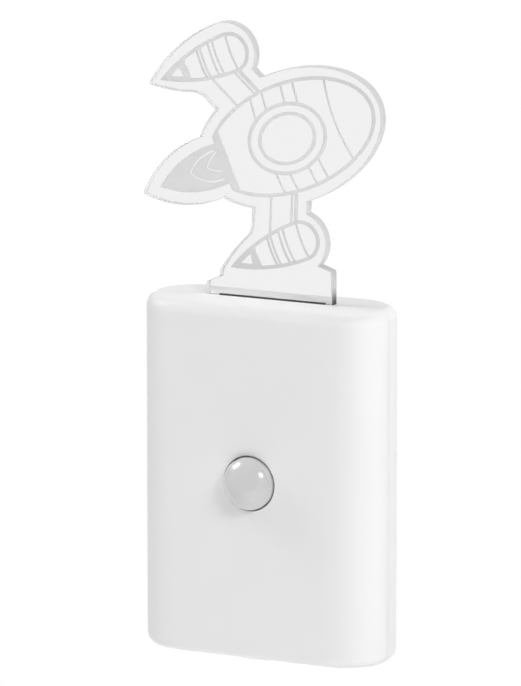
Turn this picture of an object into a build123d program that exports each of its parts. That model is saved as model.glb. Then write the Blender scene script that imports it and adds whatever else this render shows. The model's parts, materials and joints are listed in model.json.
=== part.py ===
"""Plug-in night light: a two-shell case, an edge-lit acrylic rocket, a motion sensor and a mode switch.

Millimetres.  The origin is the middle of the flat back, where it meets the wall plate.
+X is to the right seen from the room, +Y points into the wall and +Z is up.
"""
from build123d import *
from math import asin, cos, radians, sin, sqrt, tan
import os

# ---------------------------------------------------------------- case
width = 66.0                # across the rounded ends
depth = 26.0                # wall plate to front face
height = 90.0               # bottom face to top face, at the parting line
end_flat = 1.0              # straight stretch left between the two roundings of an end
edge_round = 3.0            # rounding of the top and bottom edges
least_round = 0.4           # and of the same edges on an inner surface, at least
draft_deg = 1.0             # moulding draft of the top and bottom faces
wall = 2.0                  # wall of both shells
lip_length = 1.6            # tongue of the front shell inside the rear shell
lip_gap = 0.10              # clearance round the tongue
seat_gap = 0.10             # clearance of inner pieces in their seats

# ---------------------------------------------------------------- acrylic panel and its slot
panel_thickness = 3.0
panel_gap = 0.10            # slot clearance on each face and end of the tab
tab_width = 34.5
tab_insert = 10.0           # depth of the tab below the top face
tab_left_rise = (3.2, 4.9, 6.3)  # left shoulder above the case: outer end, inner end, step up
tab_right_rise = (8.4, 9.6)  # right shoulder: outer and inner end
tab_shoulder = 3.7          # length of each shoulder
tab_corner = 0.8            # rounding of their outer corners

# the rocket stands on the foot, mirrored about its own long axis
rocket_tilt = 23.0          # long axis above the horizontal
hull_x = 5.3                # centre of the hull from the middle of the case
hull_rise = 41.1            # and above the top face
hull_length = 47.0
hull_breadth = 27.0
rim = 3.0                   # clear acrylic left outside the drawn rocket
tip_round = 0.5             # rounding of the acrylic's pointed tips
booster_length = 25.8
booster_tail_rim = 2.4      # acrylic behind a booster's pointed tail
booster_breadth = 10.0
booster_back = 16.0         # centre of a booster behind the centre of the hull
booster_out = 25.0          # and off the long axis
strut_root = 2.0            # where a strut's line meets the long axis, behind the centre
strut_sweep = 25.0          # degrees that a strut leans back
strut_neck = 15.0           # acrylic across a strut
neck_round = 5.0            # rounding between a strut and the tail of its booster
flame_length = 30.0
flame_breadth = 10.3
flame_back = 39.2           # tip of the flame behind the centre of the hull

# ---------------------------------------------------------------- light bar under the tab
led_size = (3.5, 2.8, 0.7)
led_count = 5
led_gap = 0.8               # between the emitters and the edge of the tab
tab_ledge = 1.2             # ledges under the two ends of the tab
led_board_breadth = 4.6
led_board_thickness = 1.0
led_board_start = 16.5      # left end of the light bar from the middle
led_board_tail = 3.15       # its right end past the holder
holder_wall = 2.0
holder_floor = 1.6
holder_breadth = 8.2
ear_length = 7.0            # screw ears of the holder
ear_thickness = 2.0
ear_rise = 3.4              # underside of the ears above the light bar's underside
ear_height = 6.4

# ---------------------------------------------------------------- sensor
lens_rise = 0.4             # lens axis above the middle of the case
lens_radius = 6.7           # dome where it leaves the front face
lens_gap = 0.35             # open ring between dome and case
lens_projection = 4.6       # dome in front of the face
lens_wall = 0.7
lens_flange = 1.9           # flange beyond the dome
lens_flange_thickness = 1.0
collar_wall = 1.8
collar_overlap = 1.2        # of the collar on the flange
locating_rib = 1.0          # ring on the front shell that centres the collar
locating_rib_height = 3.0
can_radius = 4.1
can_base_radius = 4.6
can_base_height = 0.6
can_height = 4.2
can_bevel = 0.35
can_standoff = 0.5          # base of the can above the board
window_size = 4.0
window_thickness = 0.5
dusk_radius = 1.0
dusk_height = 3.4
dusk_gap = 0.3              # between dusk sensor and can
lead_breadth = 0.5
lead_tail = 0.8             # lead past the board
lead_hole_gap = 0.08

# ---------------------------------------------------------------- main board and what is on it
board_thickness = 1.2
board_floor_gap = 3.0       # board above the inside of the bottom wall
board_top_gap = 2.9         # board below the panel holder
board_side_gap = 1.4        # board beside the columns of the case screws
board_stand = 6.6           # board off the inside of the front wall
board_corner = 2.0
board_screw_inset = 4.2
film_cap_size = (18.0, 10.5, 8.0)
film_cap_round = 0.8
smooth_cap_radius = 4.0
smooth_cap_height = 10.5
smooth_cap_groove = 0.45
smooth_cap_crimp = (1.4, 2.6)
smooth_cap_bevel = 0.4
tall_row = 14.0             # row of the capacitors above the lower edge of the board
low_row = 24.5              # row of rectifier and fuse above the same edge
part_gap = 2.4              # between neighbours of a row
bridge_size = (8.4, 3.2, 6.4)
bridge_leg = (1.0, 1.4, 0.3)
fuse_radius = 1.8
fuse_length = 9.0
fuse_bevel = 0.5
fuse_lift = 0.6
fuse_lead_reach = 2.4
chip_size = (9.9, 1.5, 3.9)
chip_rise = 9.0             # chip above the lens axis, edge of the collar to its middle
chip_leg = (0.45, 0.5, 1.05)
chip_leg_pitch = 1.27
chip_leg_count = 8          # on each side
resistor_size = (2.0, 0.55, 1.25)
resistor_pitch = 3.4
resistor_count = 8
resistor_drop = 5.5         # row of resistors below the collar

# ---------------------------------------------------------------- mode switch, in the bottom wall
switch_size = (12.8, 4.6, 6.8)
switch_wall = 0.7
switch_lift = 0.3           # switch body off the inside of the bottom wall
switch_step = 2.0           # travel from AUTO to OFF or to ON
carriage_size = (5.2, 2.6, 2.0)
stem_size = (3.0, 1.8)
switch_play = 0.2
knob_size = (8.0, 4.0, 1.7)
knob_proud = 0.6            # knob below the bottom face
knob_rib_pitch = 1.3
knob_rib_count = 4
knob_groove = 0.4
knob_round = 0.5
pin_size = (0.5, 2.2, 0.5)
pin_pitch = 2.5
pin_count = 4

# ---------------------------------------------------------------- plug
blade_spacing = 12.7
blade_width = 6.35
blade_thickness = 1.5
blade_length = 17.0
blade_hole_radius = 1.6
blade_hole_reach = 11.7     # hole from the wall plate
blade_tip = 1.3             # bevel of the tip
blade_shoulder = 1.5        # shoulder behind the rear wall
blade_shoulder_width = 9.6
blade_tab_width = 5.0
blade_tab_reach = 3.4       # solder tab past the clamp
clamp_size = (33.0, 2.5, 14.0)
clamp_screw_reach = 13.0    # screws from the middle
clamp_skin = 0.6            # rear wall left behind their holes
wire_radius = 0.6
wire_drop = 9.0             # supply wires below the blades
wire_bend = 2.4
light_wire_gap = 0.85       # light bar's wires beside the panel holder
light_wire_inset = 1.2      # and from the edge of the main board
light_wire_spread = 1.2     # each from the panel plane
light_wire_drop = 14.0

# ---------------------------------------------------------------- screws
case_screw_radius = 1.3
case_screw_length = 12.0
case_head_radius = 2.2
case_head_height = 1.6
case_screw_z = 29.5
case_head_depth = 7.5       # head below the back face
small_screw_radius = 0.9
small_head_radius = 1.8
small_head_height = 1.2
small_screw_grip = 4.4      # thread in a boss
boss_wall = 1.5
screw_gap = 0.05            # round a thread
tip_gap = 0.4               # past the tip of a screw
head_gap = 0.25             # round a head in its recess
head_taper = 0.75           # top of a head against its seat
cross_width = 0.5
cross_depth = 0.7

# ---------------------------------------------------------------- planes that the pieces share
panel_y = -depth / 2
slot_width = panel_thickness + 2 * panel_gap
parting_y = panel_y - slot_width / 2
front_y = -depth
front_inside = front_y + wall
rear_inside = -wall
top_z = height / 2
end_radius = (depth - end_flat) / 2
board_front = front_inside + board_stand
board_rear = board_front + board_thickness
board_bottom = -height / 2 + wall + board_floor_gap
tab_bottom = top_z - tab_insert
led_board_top = tab_bottom - led_gap - led_size[2]
led_board_bottom = led_board_top - led_board_thickness
holder_bottom = led_board_bottom - holder_floor
board_top = holder_bottom - board_top_gap
holder_top = top_z - wall - depth * tan(radians(draft_deg)) - seat_gap
holder_half = tab_width / 2 + panel_gap + holder_wall
light_wire_x = holder_half + light_wire_gap + wire_radius
board_width = 2 * (light_wire_x + light_wire_inset)
collar_inner = lens_radius + lens_flange - collar_overlap
collar_outer = collar_inner + collar_wall
flange_rear = front_inside + lens_flange_thickness
clamp_front = rear_inside - blade_shoulder - clamp_size[1]
switch_y = board_front - switch_size[1] / 2
switch_bottom = -height / 2 + wall + switch_lift
small_boss_radius = small_screw_radius + boss_wall
case_boss_radius = case_screw_radius + boss_wall
case_screw_x = board_width / 2 + board_side_gap + case_boss_radius


# ---------------------------------------------------------------- shared shapes
def block(x, y, z):
    """Rectangular block between pairs of coordinates."""
    size = Box(x[1] - x[0], y[1] - y[0], z[1] - z[0])
    return Pos((x[0] + x[1]) / 2, (y[0] + y[1]) / 2, (z[0] + z[1]) / 2) * size


def centred(x, length):
    """Pair of coordinates of a length about a middle."""
    return (x - length / 2, x + length / 2)


def rod(radius, x, z, y_from, y_to):
    """Round rod along the depth."""
    bar = Rot(90, 0, 0) * Cylinder(radius, abs(y_to - y_from))
    return Pos(x, (y_from + y_to) / 2, z) * bar


def tube(outer, inner, x, z, y_from, y_to):
    """Round sleeve along the depth."""
    return rod(outer, x, z, y_from, y_to) - rod(inner, x, z, y_from, y_to)


def pin(breadth, x, z, y_from, y_to):
    """Square pin along the depth."""
    return block(centred(x, breadth), (y_from, y_to), centred(z, breadth))


def wire(radius, start, corner, end, bend):
    """Round wire of two straight runs at right angles, with its corner cut off."""
    start, corner, end = Vector(*start), Vector(*corner), Vector(*end)
    before = corner + (start - corner).normalized() * bend
    after = corner + (end - corner).normalized() * bend
    path = Polyline(start, before, after, end)
    return sweep(Plane(origin=start, z_dir=corner - start) * Circle(radius), path,
                 transition=Transition.RIGHT)


def screw(radius, length, head_radius, head_height):
    """Pan-head screw along +Y under its head, which stands from y = 0 towards -Y."""
    shank = rod(radius, 0, 0, 0, length)
    head = Rot(90, 0, 0) * Cone(head_radius, head_radius * head_taper, head_height)
    return shank + Pos(0, -head_height / 2, 0) * head


def cross_recess(head_radius, head_height):
    """Cross cut into the head of a screw."""
    span = (-head_height - 0.1, -head_height + cross_depth)
    arm = head_radius * 1.3
    return block(centred(0, arm), span, centred(0, cross_width)) + block(
        centred(0, cross_width), span, centred(0, arm))


# ---------------------------------------------------------------- case
def half_case(inset, face_y, rounded=True):
    """Solid half of the case, inset from its skin, from the parting line to one face."""
    toward = 1 if face_y > parting_y else -1
    far = face_y - toward * inset
    plan = Pos(0, -depth / 2) * RectangleRounded(
        width - 2 * inset, depth - 2 * inset, end_radius - inset)
    tall = extrude(plan, height / 2, both=True)
    near_z = height / 2 - inset
    far_z = near_z - abs(far - parting_y) * tan(radians(draft_deg))
    side = Polyline((parting_y, near_z), (far, far_z), (far, -far_z), (parting_y, -near_z), close=True)
    gable = extrude(Plane.YZ * make_face(side), width, both=True)
    half = tall & gable
    if not rounded:
        return half
    round_edges = [
        edge
        for face in (half.faces().sort_by(Axis.Z)[0], half.faces().sort_by(Axis.Z)[-1])
        for edge in face.edges()
        if abs(edge.center().Y - parting_y) > 0.01
    ]
    return fillet(round_edges, max(edge_round - inset, least_round))


def lip_band(outer_inset, inner_inset, length):
    """Band inside the rear shell's wall, from the parting line backwards."""
    span = block(centred(0, 2 * width), (parting_y, parting_y + length), centred(0, 2 * height))
    band = half_case(outer_inset, 0) - half_case(inner_inset, 0, rounded=False)
    return band & span


def screw_places(x, z):
    """Four places about the middle."""
    return [(sx * x, sz * z) for sx in (-1, 1) for sz in (-1, 1)]


def board_screw_places():
    """Screws near the corners of the main board."""
    x = board_width / 2 - board_screw_inset
    return [(side * x, z) for side in (-1, 1)
            for z in (board_bottom + board_screw_inset, board_top - board_screw_inset)]


def front_shell():
    """Front shell with its tongue, sensor hole, bosses and switch pocket."""
    outside = half_case(0, front_y)
    shell = outside - half_case(wall, front_y, rounded=False)
    for x, z in board_screw_places():
        shell += rod(small_boss_radius, x, z, front_y + wall / 2, board_front) & outside
    for x, z in screw_places(case_screw_x, case_screw_z):
        shell += rod(case_boss_radius, x, z, front_y + wall / 2, parting_y) & outside
    rib_inner = collar_outer + seat_gap
    rib_end = flange_rear + locating_rib_height
    shell += tube(rib_inner + locating_rib, rib_inner, 0, lens_rise, front_inside - 0.5, rib_end)
    tongue = lip_band(wall / 2 + lip_gap, wall - lip_gap, lip_length)
    slot_clear = block(centred(0, tab_width + 4 * holder_wall), (parting_y, 0), (0, height))
    shell += tongue - slot_clear
    shell -= rod(lens_radius + lens_gap, 0, lens_rise, front_y - 1, front_inside + 0.1)
    for x, z in board_screw_places():
        reach = small_screw_grip + tip_gap
        shell -= rod(small_screw_radius + screw_gap, x, z, board_front - reach, board_front)
    for x, z in screw_places(case_screw_x, case_screw_z):
        reach = case_screw_length - (-parting_y - case_head_depth) + tip_gap
        shell -= rod(case_screw_radius + screw_gap, x, z, parting_y - reach, parting_y)
    return shell - switch_pocket()


def switch_pocket():
    """Recess of the knob and slot of its stem in the bottom wall."""
    travel = 2 * switch_step + switch_play
    floor_z = -height / 2 + knob_size[2] - knob_proud + seat_gap
    recess = block(centred(0, knob_size[0] + travel), centred(switch_y, knob_size[1] + switch_play),
                   (-height / 2 - 1, floor_z))
    slot = block(centred(0, stem_size[0] + travel), centred(switch_y, stem_size[1] + switch_play),
                 (-height / 2 - 1, -height / 2 + wall + 1))
    return recess + slot


def rear_shell():
    """Rear shell with the panel slot, blade slots, screw columns and bosses."""
    outside = half_case(0, 0)
    shell = outside - half_case(wall, 0, rounded=False)
    shell -= lip_band(wall / 2, wall, lip_length + lip_gap)
    for x, z in screw_places(case_screw_x, case_screw_z):
        shell += rod(case_boss_radius + head_gap, x, z, parting_y, -wall / 2) & outside
    for x, z in holder_screw_places():
        shell += rod(small_boss_radius, x, z, holder_rear_y(), -wall / 2) & outside
    clamp_seat = rear_inside - blade_shoulder
    for side in (-1, 1):
        shell += rod(small_boss_radius, side * clamp_screw_reach, 0, clamp_seat, -wall / 2)
    for x, z in screw_places(case_screw_x, case_screw_z):
        shell -= rod(case_screw_radius + head_gap, x, z, parting_y - 1, 1)
        shell -= rod(case_head_radius + head_gap, x, z, -case_head_depth, 1)
    for x, z in holder_screw_places():
        reach = min(small_screw_grip + tip_gap, -holder_rear_y() - wall / 2)
        shell -= rod(small_screw_radius + screw_gap, x, z, holder_rear_y(), holder_rear_y() + reach)
    for side in (-1, 1):
        shell -= rod(small_screw_radius + screw_gap, side * clamp_screw_reach, 0, clamp_seat, -clamp_skin)
        shell -= block(centred(side * blade_spacing / 2, blade_thickness + 2 * seat_gap), (-depth, 1),
                       centred(0, blade_width + 2 * seat_gap))
    slot = block(centred(0, tab_width + 2 * panel_gap), (parting_y, parting_y + slot_width),
                 (top_z - 2 * wall - depth * tan(radians(draft_deg)), top_z + 1))
    return shell - slot


# ---------------------------------------------------------------- rocket panel
def on_rocket(sketch):
    """Place a sketch that is drawn about the hull's centre, with +x towards the nose."""
    return Pos(hull_x, hull_rise) * Rot(0, 0, rocket_tilt) * sketch


def pointed(form):
    """Sheet form with its rearmost tip rounded."""
    return fillet(form.vertices().sort_by(Axis.X)[0], tip_round)


def hull_form():
    """Acrylic round the elliptical hull."""
    return Ellipse(hull_length / 2 + rim, hull_breadth / 2 + rim)


def booster_form(side):
    """Acrylic round a booster with a round nose and a pointed tail, on one side of the hull."""
    nose_x = (booster_length - booster_breadth) / 2
    nose_radius = booster_breadth / 2 + rim
    tail = (-booster_length / 2 - booster_tail_rim, 0)
    drop = make_face([
        ThreePointArc((nose_x, nose_radius), (nose_x + nose_radius, 0), (nose_x, -nose_radius)),
        TangentArc((nose_x, -nose_radius), tail, tangent=(-1, 0)),
        TangentArc((nose_x, nose_radius), tail, tangent=(-1, 0)),
    ])
    return Pos(-booster_back, side * booster_out) * pointed(drop)


def strut_form(side):
    """Acrylic round the swept struts between the hull and a booster."""
    reach = booster_out / cos(radians(strut_sweep))
    bar = Pos(0, reach / 2) * Rectangle(strut_neck, reach)
    placed = Pos(-strut_root, 0) * Rot(0, 0, strut_sweep) * bar
    return placed if side > 0 else mirror(placed, Plane.XZ)


def flame_form():
    """Acrylic round the leaf-shaped flame, whose inner end lies under the hull."""
    half = flame_length / 2
    bulge = flame_breadth / 2
    bend = (half ** 2 + bulge ** 2) / (2 * bulge)
    reach = sqrt((bend + rim) ** 2 - (bend - bulge) ** 2)
    middle = half - flame_back
    tip, root = (middle - reach, 0), (middle + reach, 0)
    return pointed(make_face([
        ThreePointArc(tip, (middle, bulge + rim), root),
        ThreePointArc(root, (middle, -bulge - rim), tip),
    ]))


def foot_form():
    """Foot of the panel, from the bottom of its tab to its two sloping shoulders."""
    left = -tab_width / 2
    right = tab_width / 2
    foot = make_face(Polyline(
        (left, -tab_insert), (right, -tab_insert), (right, tab_right_rise[0]),
        (right - tab_shoulder, tab_right_rise[1]), (left + tab_shoulder, tab_left_rise[2]),
        (left + tab_shoulder, tab_left_rise[1]), (left, tab_left_rise[0]), close=True))
    corners = [v for v in foot.vertices() if v.Y > 0 and abs(v.X) > right - tab_shoulder / 2]
    return fillet(corners, tab_corner)


def side_forms():
    """Acrylic round both boosters and their struts."""
    pair = []
    for side in (-1, 1):
        arm = booster_form(side) + strut_form(side)
        hollow = arm.vertices().sort_by_distance((-booster_back - rim, side * (booster_out - rim)))
        inner = [v for v in hollow if v.X < -booster_back and abs(v.Y) < booster_out - rim]
        pair.append(fillet(inner[0], neck_round))
    return pair


def panel_outline():
    """Outline of the acrylic: the rocket with its clear rim, on the foot."""
    rocket = hull_form() + flame_form() + side_forms()
    return on_rocket(rocket) + foot_form()


def rocket_panel():
    """Acrylic panel that stands in the slot."""
    sheet = extrude(Plane.XZ * panel_outline(), panel_thickness)
    return Pos(0, panel_y + panel_thickness / 2, top_z) * sheet


# ---------------------------------------------------------------- light bar
def holder_rear_y():
    """Back of the panel holder."""
    return panel_y + holder_breadth / 2


def holder_screw_places():
    """Screws through the ears of the panel holder."""
    x = holder_half + ear_length / 2
    z = led_board_bottom + ear_rise + ear_height / 2
    return [(-x, z), (x, z)]


def panel_holder():
    """Trough that grips the tab and holds the light bar under it."""
    rear = holder_rear_y()
    body = block(centred(0, 2 * holder_half), centred(panel_y, holder_breadth), (holder_bottom, holder_top))
    ear_z = led_board_bottom + ear_rise
    ears = block(centred(0, 2 * (holder_half + ear_length)), (rear - ear_thickness, rear),
                 (ear_z, ear_z + ear_height))
    body += ears
    body -= block(centred(0, tab_width + 2 * panel_gap), centred(panel_y, slot_width),
                  (tab_bottom, holder_top + 1))
    body -= block(centred(0, tab_width - 2 * tab_ledge), centred(panel_y, slot_width),
                  (led_board_top, tab_bottom + 0.1))
    body -= block((-led_board_start - seat_gap, width), centred(panel_y, led_board_breadth + 2 * seat_gap),
                  (led_board_bottom, led_board_top + led_size[2] + seat_gap))
    for x, z in holder_screw_places():
        body -= rod(small_screw_radius + head_gap, x, z, rear - ear_thickness - 1, rear + 1)
    return body


def led_board():
    """Narrow board of the light bar, with a tail for its wires."""
    start = -led_board_start
    return block((start, holder_half + led_board_tail), centred(panel_y, led_board_breadth),
                 (led_board_bottom, led_board_top))


def leds():
    """Row of emitters facing up into the edge of the tab."""
    pitch = tab_width / led_count
    row = []
    for index in range(led_count):
        x = (index - (led_count - 1) / 2) * pitch
        row.append(block(centred(x, led_size[0]), centred(panel_y, led_size[1]),
                         (led_board_top, led_board_top + led_size[2])))
    return Compound(children=row)


def light_wires():
    """Two wires from the tail of the light bar down to the main board."""
    x = light_wire_x
    pair = []
    for side in (-1, 1):
        y = panel_y + side * light_wire_spread
        foot_z = led_board_bottom - light_wire_drop + side * light_wire_spread
        corner = (x, y, foot_z)
        bend = min(wire_bend, (y - board_rear) * 0.8)
        pair.append(wire(wire_radius, (x, y, led_board_bottom), corner, (x, board_rear, foot_z), bend))
    return Compound(children=pair)


# ---------------------------------------------------------------- sensor
def dome_arc(sphere, rim_radius, centre_y):
    """Arc of a spherical cap in the X-Y half plane, from its apex to its rim."""
    half_angle = asin(rim_radius / sphere) / 2
    apex = (0, centre_y - sphere)
    middle = (sphere * sin(half_angle), centre_y - sphere * cos(half_angle))
    rim_point = (rim_radius, centre_y - sqrt(sphere ** 2 - rim_radius ** 2))
    return ThreePointArc(apex, middle, rim_point)


def pir_lens():
    """Hollow dome lens with a flange behind the front wall."""
    sphere = (lens_radius ** 2 + lens_projection ** 2) / (2 * lens_projection)
    centre_y = front_y - lens_projection + sphere
    inner_radius = lens_radius - lens_wall
    outer = dome_arc(sphere, lens_radius, centre_y)
    inner = dome_arc(sphere - lens_wall, inner_radius, centre_y)
    flange_radius = lens_radius + lens_flange
    skirt = Polyline(outer @ 1, (lens_radius, front_inside), (flange_radius, front_inside),
                     (flange_radius, flange_rear), (inner_radius, flange_rear), inner @ 1)
    section = make_face([outer, skirt, inner, Line(inner @ 0, outer @ 0)])
    return Pos(0, 0, lens_rise) * revolve(section, Axis.Y)


def lens_collar():
    """Collar that the board presses against the flange of the lens."""
    return tube(collar_outer, collar_inner, 0, lens_rise, flange_rear, board_front)


def pir_can():
    """Metal can of the motion sensor with the recess of its window."""
    base = board_front - can_standoff
    can = rod(can_base_radius, 0, lens_rise, base, base - can_base_height)
    body = rod(can_radius, 0, lens_rise, base - can_base_height, base - can_height)
    top_edge = body.edges().filter_by(GeomType.CIRCLE).sort_by(Axis.Y)[0]
    can += chamfer(top_edge, can_bevel)
    return can - pir_window_block(seat_gap / 2)


def pir_window_block(grow):
    """Square of the sensor window, grown for its recess."""
    top = board_front - can_standoff - can_height
    size = window_size + 2 * grow
    return block(centred(0, size), (top, top + window_thickness), centred(lens_rise, size))


def pir_window():
    """Dark filter window of the motion sensor."""
    return pir_window_block(0)


def pir_lead_places():
    """Three leads of the motion sensor."""
    reach = can_radius * 0.62
    return [(reach, lens_rise), (-reach, lens_rise), (0, lens_rise + reach)]


def pir_leads():
    """Leads from the can through the board."""
    start = board_front - can_standoff
    return Compound(children=[
        pin(lead_breadth, x, z, start, board_rear + lead_tail) for x, z in pir_lead_places()])


def dusk_place():
    """Dusk sensor between the can and the collar."""
    return (0, lens_rise - can_base_radius - dusk_gap - dusk_radius)


def dusk_sensor():
    """Round-topped light sensor on the board."""
    x, z = dusk_place()
    body = rod(dusk_radius, x, z, board_front, board_front - dusk_height)
    tip = body.edges().filter_by(GeomType.CIRCLE).sort_by(Axis.Y)[0]
    return chamfer(tip, dusk_radius * 0.5)


# ---------------------------------------------------------------- main board
def film_cap_middle():
    """Middle of the film capacitor."""
    return (-board_width / 2 + board_screw_inset + film_cap_size[0] / 2, board_bottom + tall_row)


def smooth_cap_middle():
    """Middle of the electrolytic capacitor."""
    x, z = film_cap_middle()
    return (x + film_cap_size[0] / 2 + part_gap + smooth_cap_radius, z)


def bridge_middle():
    """Middle of the bridge rectifier."""
    return (-part_gap / 2 - bridge_size[0] / 2, board_bottom + low_row)


def fuse_middle():
    """Middle of the fusible resistor."""
    return (part_gap / 2 + fuse_lead_reach + fuse_length / 2, board_bottom + low_row)


def standing_lead_places():
    """Leads of the two capacitors."""
    film_x, film_z = film_cap_middle()
    cap_x, cap_z = smooth_cap_middle()
    film_reach = film_cap_size[0] * 0.42
    cap_reach = smooth_cap_radius * 0.42
    return [(film_x - film_reach, film_z), (film_x + film_reach, film_z),
            (cap_x - cap_reach, cap_z), (cap_x + cap_reach, cap_z)]


def fuse_lead_places():
    """Bent leads of the fusible resistor."""
    x, z = fuse_middle()
    reach = fuse_length / 2 + fuse_lead_reach / 2
    return [(x - reach, z), (x + reach, z)]


def main_board():
    """Board that carries the supply, the sensor and the switch."""
    outline = RectangleRounded(board_width, board_top - board_bottom, board_corner)
    board = extrude(Plane.XZ * outline, board_thickness)
    board = Pos(0, board_rear, (board_bottom + board_top) / 2) * board
    for x, z in board_screw_places():
        board -= rod(small_screw_radius + head_gap, x, z, board_front - 1, board_rear + 1)
    for x, z in pir_lead_places() + standing_lead_places() + fuse_lead_places():
        board -= pin(lead_breadth + 2 * lead_hole_gap, x, z, board_front - 1, board_rear + 1)
    return board


def film_capacitor():
    """Boxed film capacitor that drops the mains voltage."""
    x, z = film_cap_middle()
    body = block(centred(x, film_cap_size[0]), (board_rear, board_rear + film_cap_size[1]),
                 centred(z, film_cap_size[2]))
    return fillet(body.edges().filter_by(Axis.Y), film_cap_round)


def smoothing_capacitor():
    """Electrolytic capacitor with its crimp groove near the board."""
    x, z = smooth_cap_middle()
    outer = smooth_cap_radius
    waist = outer - smooth_cap_groove
    low, high = smooth_cap_crimp
    profile = Polyline(
        (0, 0), (outer - smooth_cap_bevel, 0), (outer, smooth_cap_bevel), (outer, low),
        (waist, (low + high) / 2), (outer, high), (outer, smooth_cap_height - smooth_cap_bevel),
        (outer - smooth_cap_bevel, smooth_cap_height), (0, smooth_cap_height), close=True)
    return Pos(x, board_rear, z) * revolve(make_face(profile), Axis.Y)


def capacitor_leads():
    """Leads of the two capacitors through the board."""
    return Compound(children=[
        pin(lead_breadth, x, z, board_front - lead_tail, board_rear) for x, z in standing_lead_places()])


def bridge_rectifier():
    """Rectifier with two legs on each side."""
    x, z = bridge_middle()
    leg_w, leg_out, leg_t = bridge_leg
    body = block(centred(x, bridge_size[0]), (board_rear + leg_t, board_rear + bridge_size[1]),
                 centred(z, bridge_size[2]))
    body = chamfer(body.edges().group_by(Axis.Y)[-1], 0.5)
    for side in (-1, 1):
        legs = block(centred(x + side * bridge_size[0] * 0.3, leg_w), (board_rear, board_rear + leg_t),
                     centred(z, bridge_size[2] + 2 * leg_out))
        body += legs
    return body


def fuse_resistor():
    """Round fusible resistor lying on the board."""
    x, z = fuse_middle()
    y = board_rear + fuse_lift + fuse_radius
    body = Pos(x, y, z) * Rot(0, 90, 0) * Cylinder(fuse_radius, fuse_length)
    return chamfer(body.edges().filter_by(GeomType.CIRCLE), fuse_bevel)


def fuse_leads():
    """Leads bent down from the ends of the fusible resistor."""
    x, z = fuse_middle()
    y = board_rear + fuse_lift + fuse_radius
    pair = []
    for side, (foot_x, foot_z) in zip((-1, 1), fuse_lead_places()):
        arm = sorted((x + side * fuse_length / 2, foot_x + side * lead_breadth / 2))
        bent = block(arm, centred(y, lead_breadth), centred(z, lead_breadth))
        pair.append(bent + pin(lead_breadth, foot_x, foot_z, board_front - lead_tail, y))
    return Compound(children=pair)


def control_chip():
    """Sensor chip with its two rows of legs."""
    z = lens_rise + collar_outer + chip_rise
    body = block(centred(0, chip_size[0]), (board_front - chip_size[1], board_front - chip_leg[1] / 2),
                 centred(z, chip_size[2]))
    for index in range(chip_leg_count):
        x = (index - (chip_leg_count - 1) / 2) * chip_leg_pitch
        body += block(centred(x, chip_leg[0]), (board_front - chip_leg[1], board_front),
                      centred(z, chip_size[2] + 2 * chip_leg[2]))
    return body


def chip_resistors():
    """Row of chip resistors below the sensor."""
    z = lens_rise - collar_outer - resistor_drop
    row = []
    for index in range(resistor_count):
        x = (index - (resistor_count - 1) / 2) * resistor_pitch
        row.append(block(centred(x, resistor_size[0]), (board_front - resistor_size[1], board_front),
                         centred(z, resistor_size[2])))
    return Compound(children=row)


# ---------------------------------------------------------------- switch
def carriage_cavity():
    """Space in the switch in which the carriage runs."""
    travel = 2 * switch_step + switch_play
    return block(centred(0, carriage_size[0] + travel), centred(switch_y, carriage_size[1] + switch_play),
                 (carriage_floor(), carriage_floor() + carriage_size[2] + switch_play))


def carriage_floor():
    """Underside of the carriage's space."""
    return switch_bottom + switch_wall


def switch_body():
    """Frame of the three-position slide switch."""
    body = block(centred(0, switch_size[0]), centred(switch_y, switch_size[1]),
                 (switch_bottom, switch_bottom + switch_size[2]))
    travel = 2 * switch_step + switch_play
    mouth = block(centred(0, stem_size[0] + travel), centred(switch_y, stem_size[1] + switch_play),
                  (switch_bottom - 1, carriage_floor() + 0.1))
    return body - carriage_cavity() - mouth


def knob_bottom():
    """Underside of the knob."""
    return -height / 2 - knob_proud


def switch_slider():
    """Carriage and stem that reach through the bottom wall."""
    floor_z = carriage_floor() + switch_play / 2
    carriage = block(centred(0, carriage_size[0]), centred(switch_y, carriage_size[1]),
                     (floor_z, floor_z + carriage_size[2]))
    stem = block(centred(0, stem_size[0]), centred(switch_y, stem_size[1]),
                 (knob_bottom() + knob_size[2] / 2, floor_z))
    return carriage + stem


def switch_knob():
    """Ribbed knob on the end of the stem."""
    low = knob_bottom()
    knob = block(centred(0, knob_size[0]), centred(switch_y, knob_size[1]), (low, low + knob_size[2]))
    knob = fillet(knob.edges().filter_by(Axis.Z), knob_round)
    for index in range(knob_rib_count):
        x = (index - (knob_rib_count - 1) / 2) * knob_rib_pitch
        knob -= block(centred(x, knob_groove), centred(switch_y, knob_size[1] + 1),
                      (low - 1, low + knob_groove))
    knob -= block(centred(0, stem_size[0]), centred(switch_y, stem_size[1]),
                  (low + knob_size[2] / 2, low + knob_size[2] + 1))
    return knob


def switch_pins():
    """Pins of the switch on the face of the board."""
    top = switch_bottom + switch_size[2]
    row = []
    for index in range(pin_count):
        x = (index - (pin_count - 1) / 2) * pin_pitch
        row.append(block(centred(x, pin_size[0]), (board_front - pin_size[2], board_front),
                         (top, top + pin_size[1])))
    return Compound(children=row)


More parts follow.
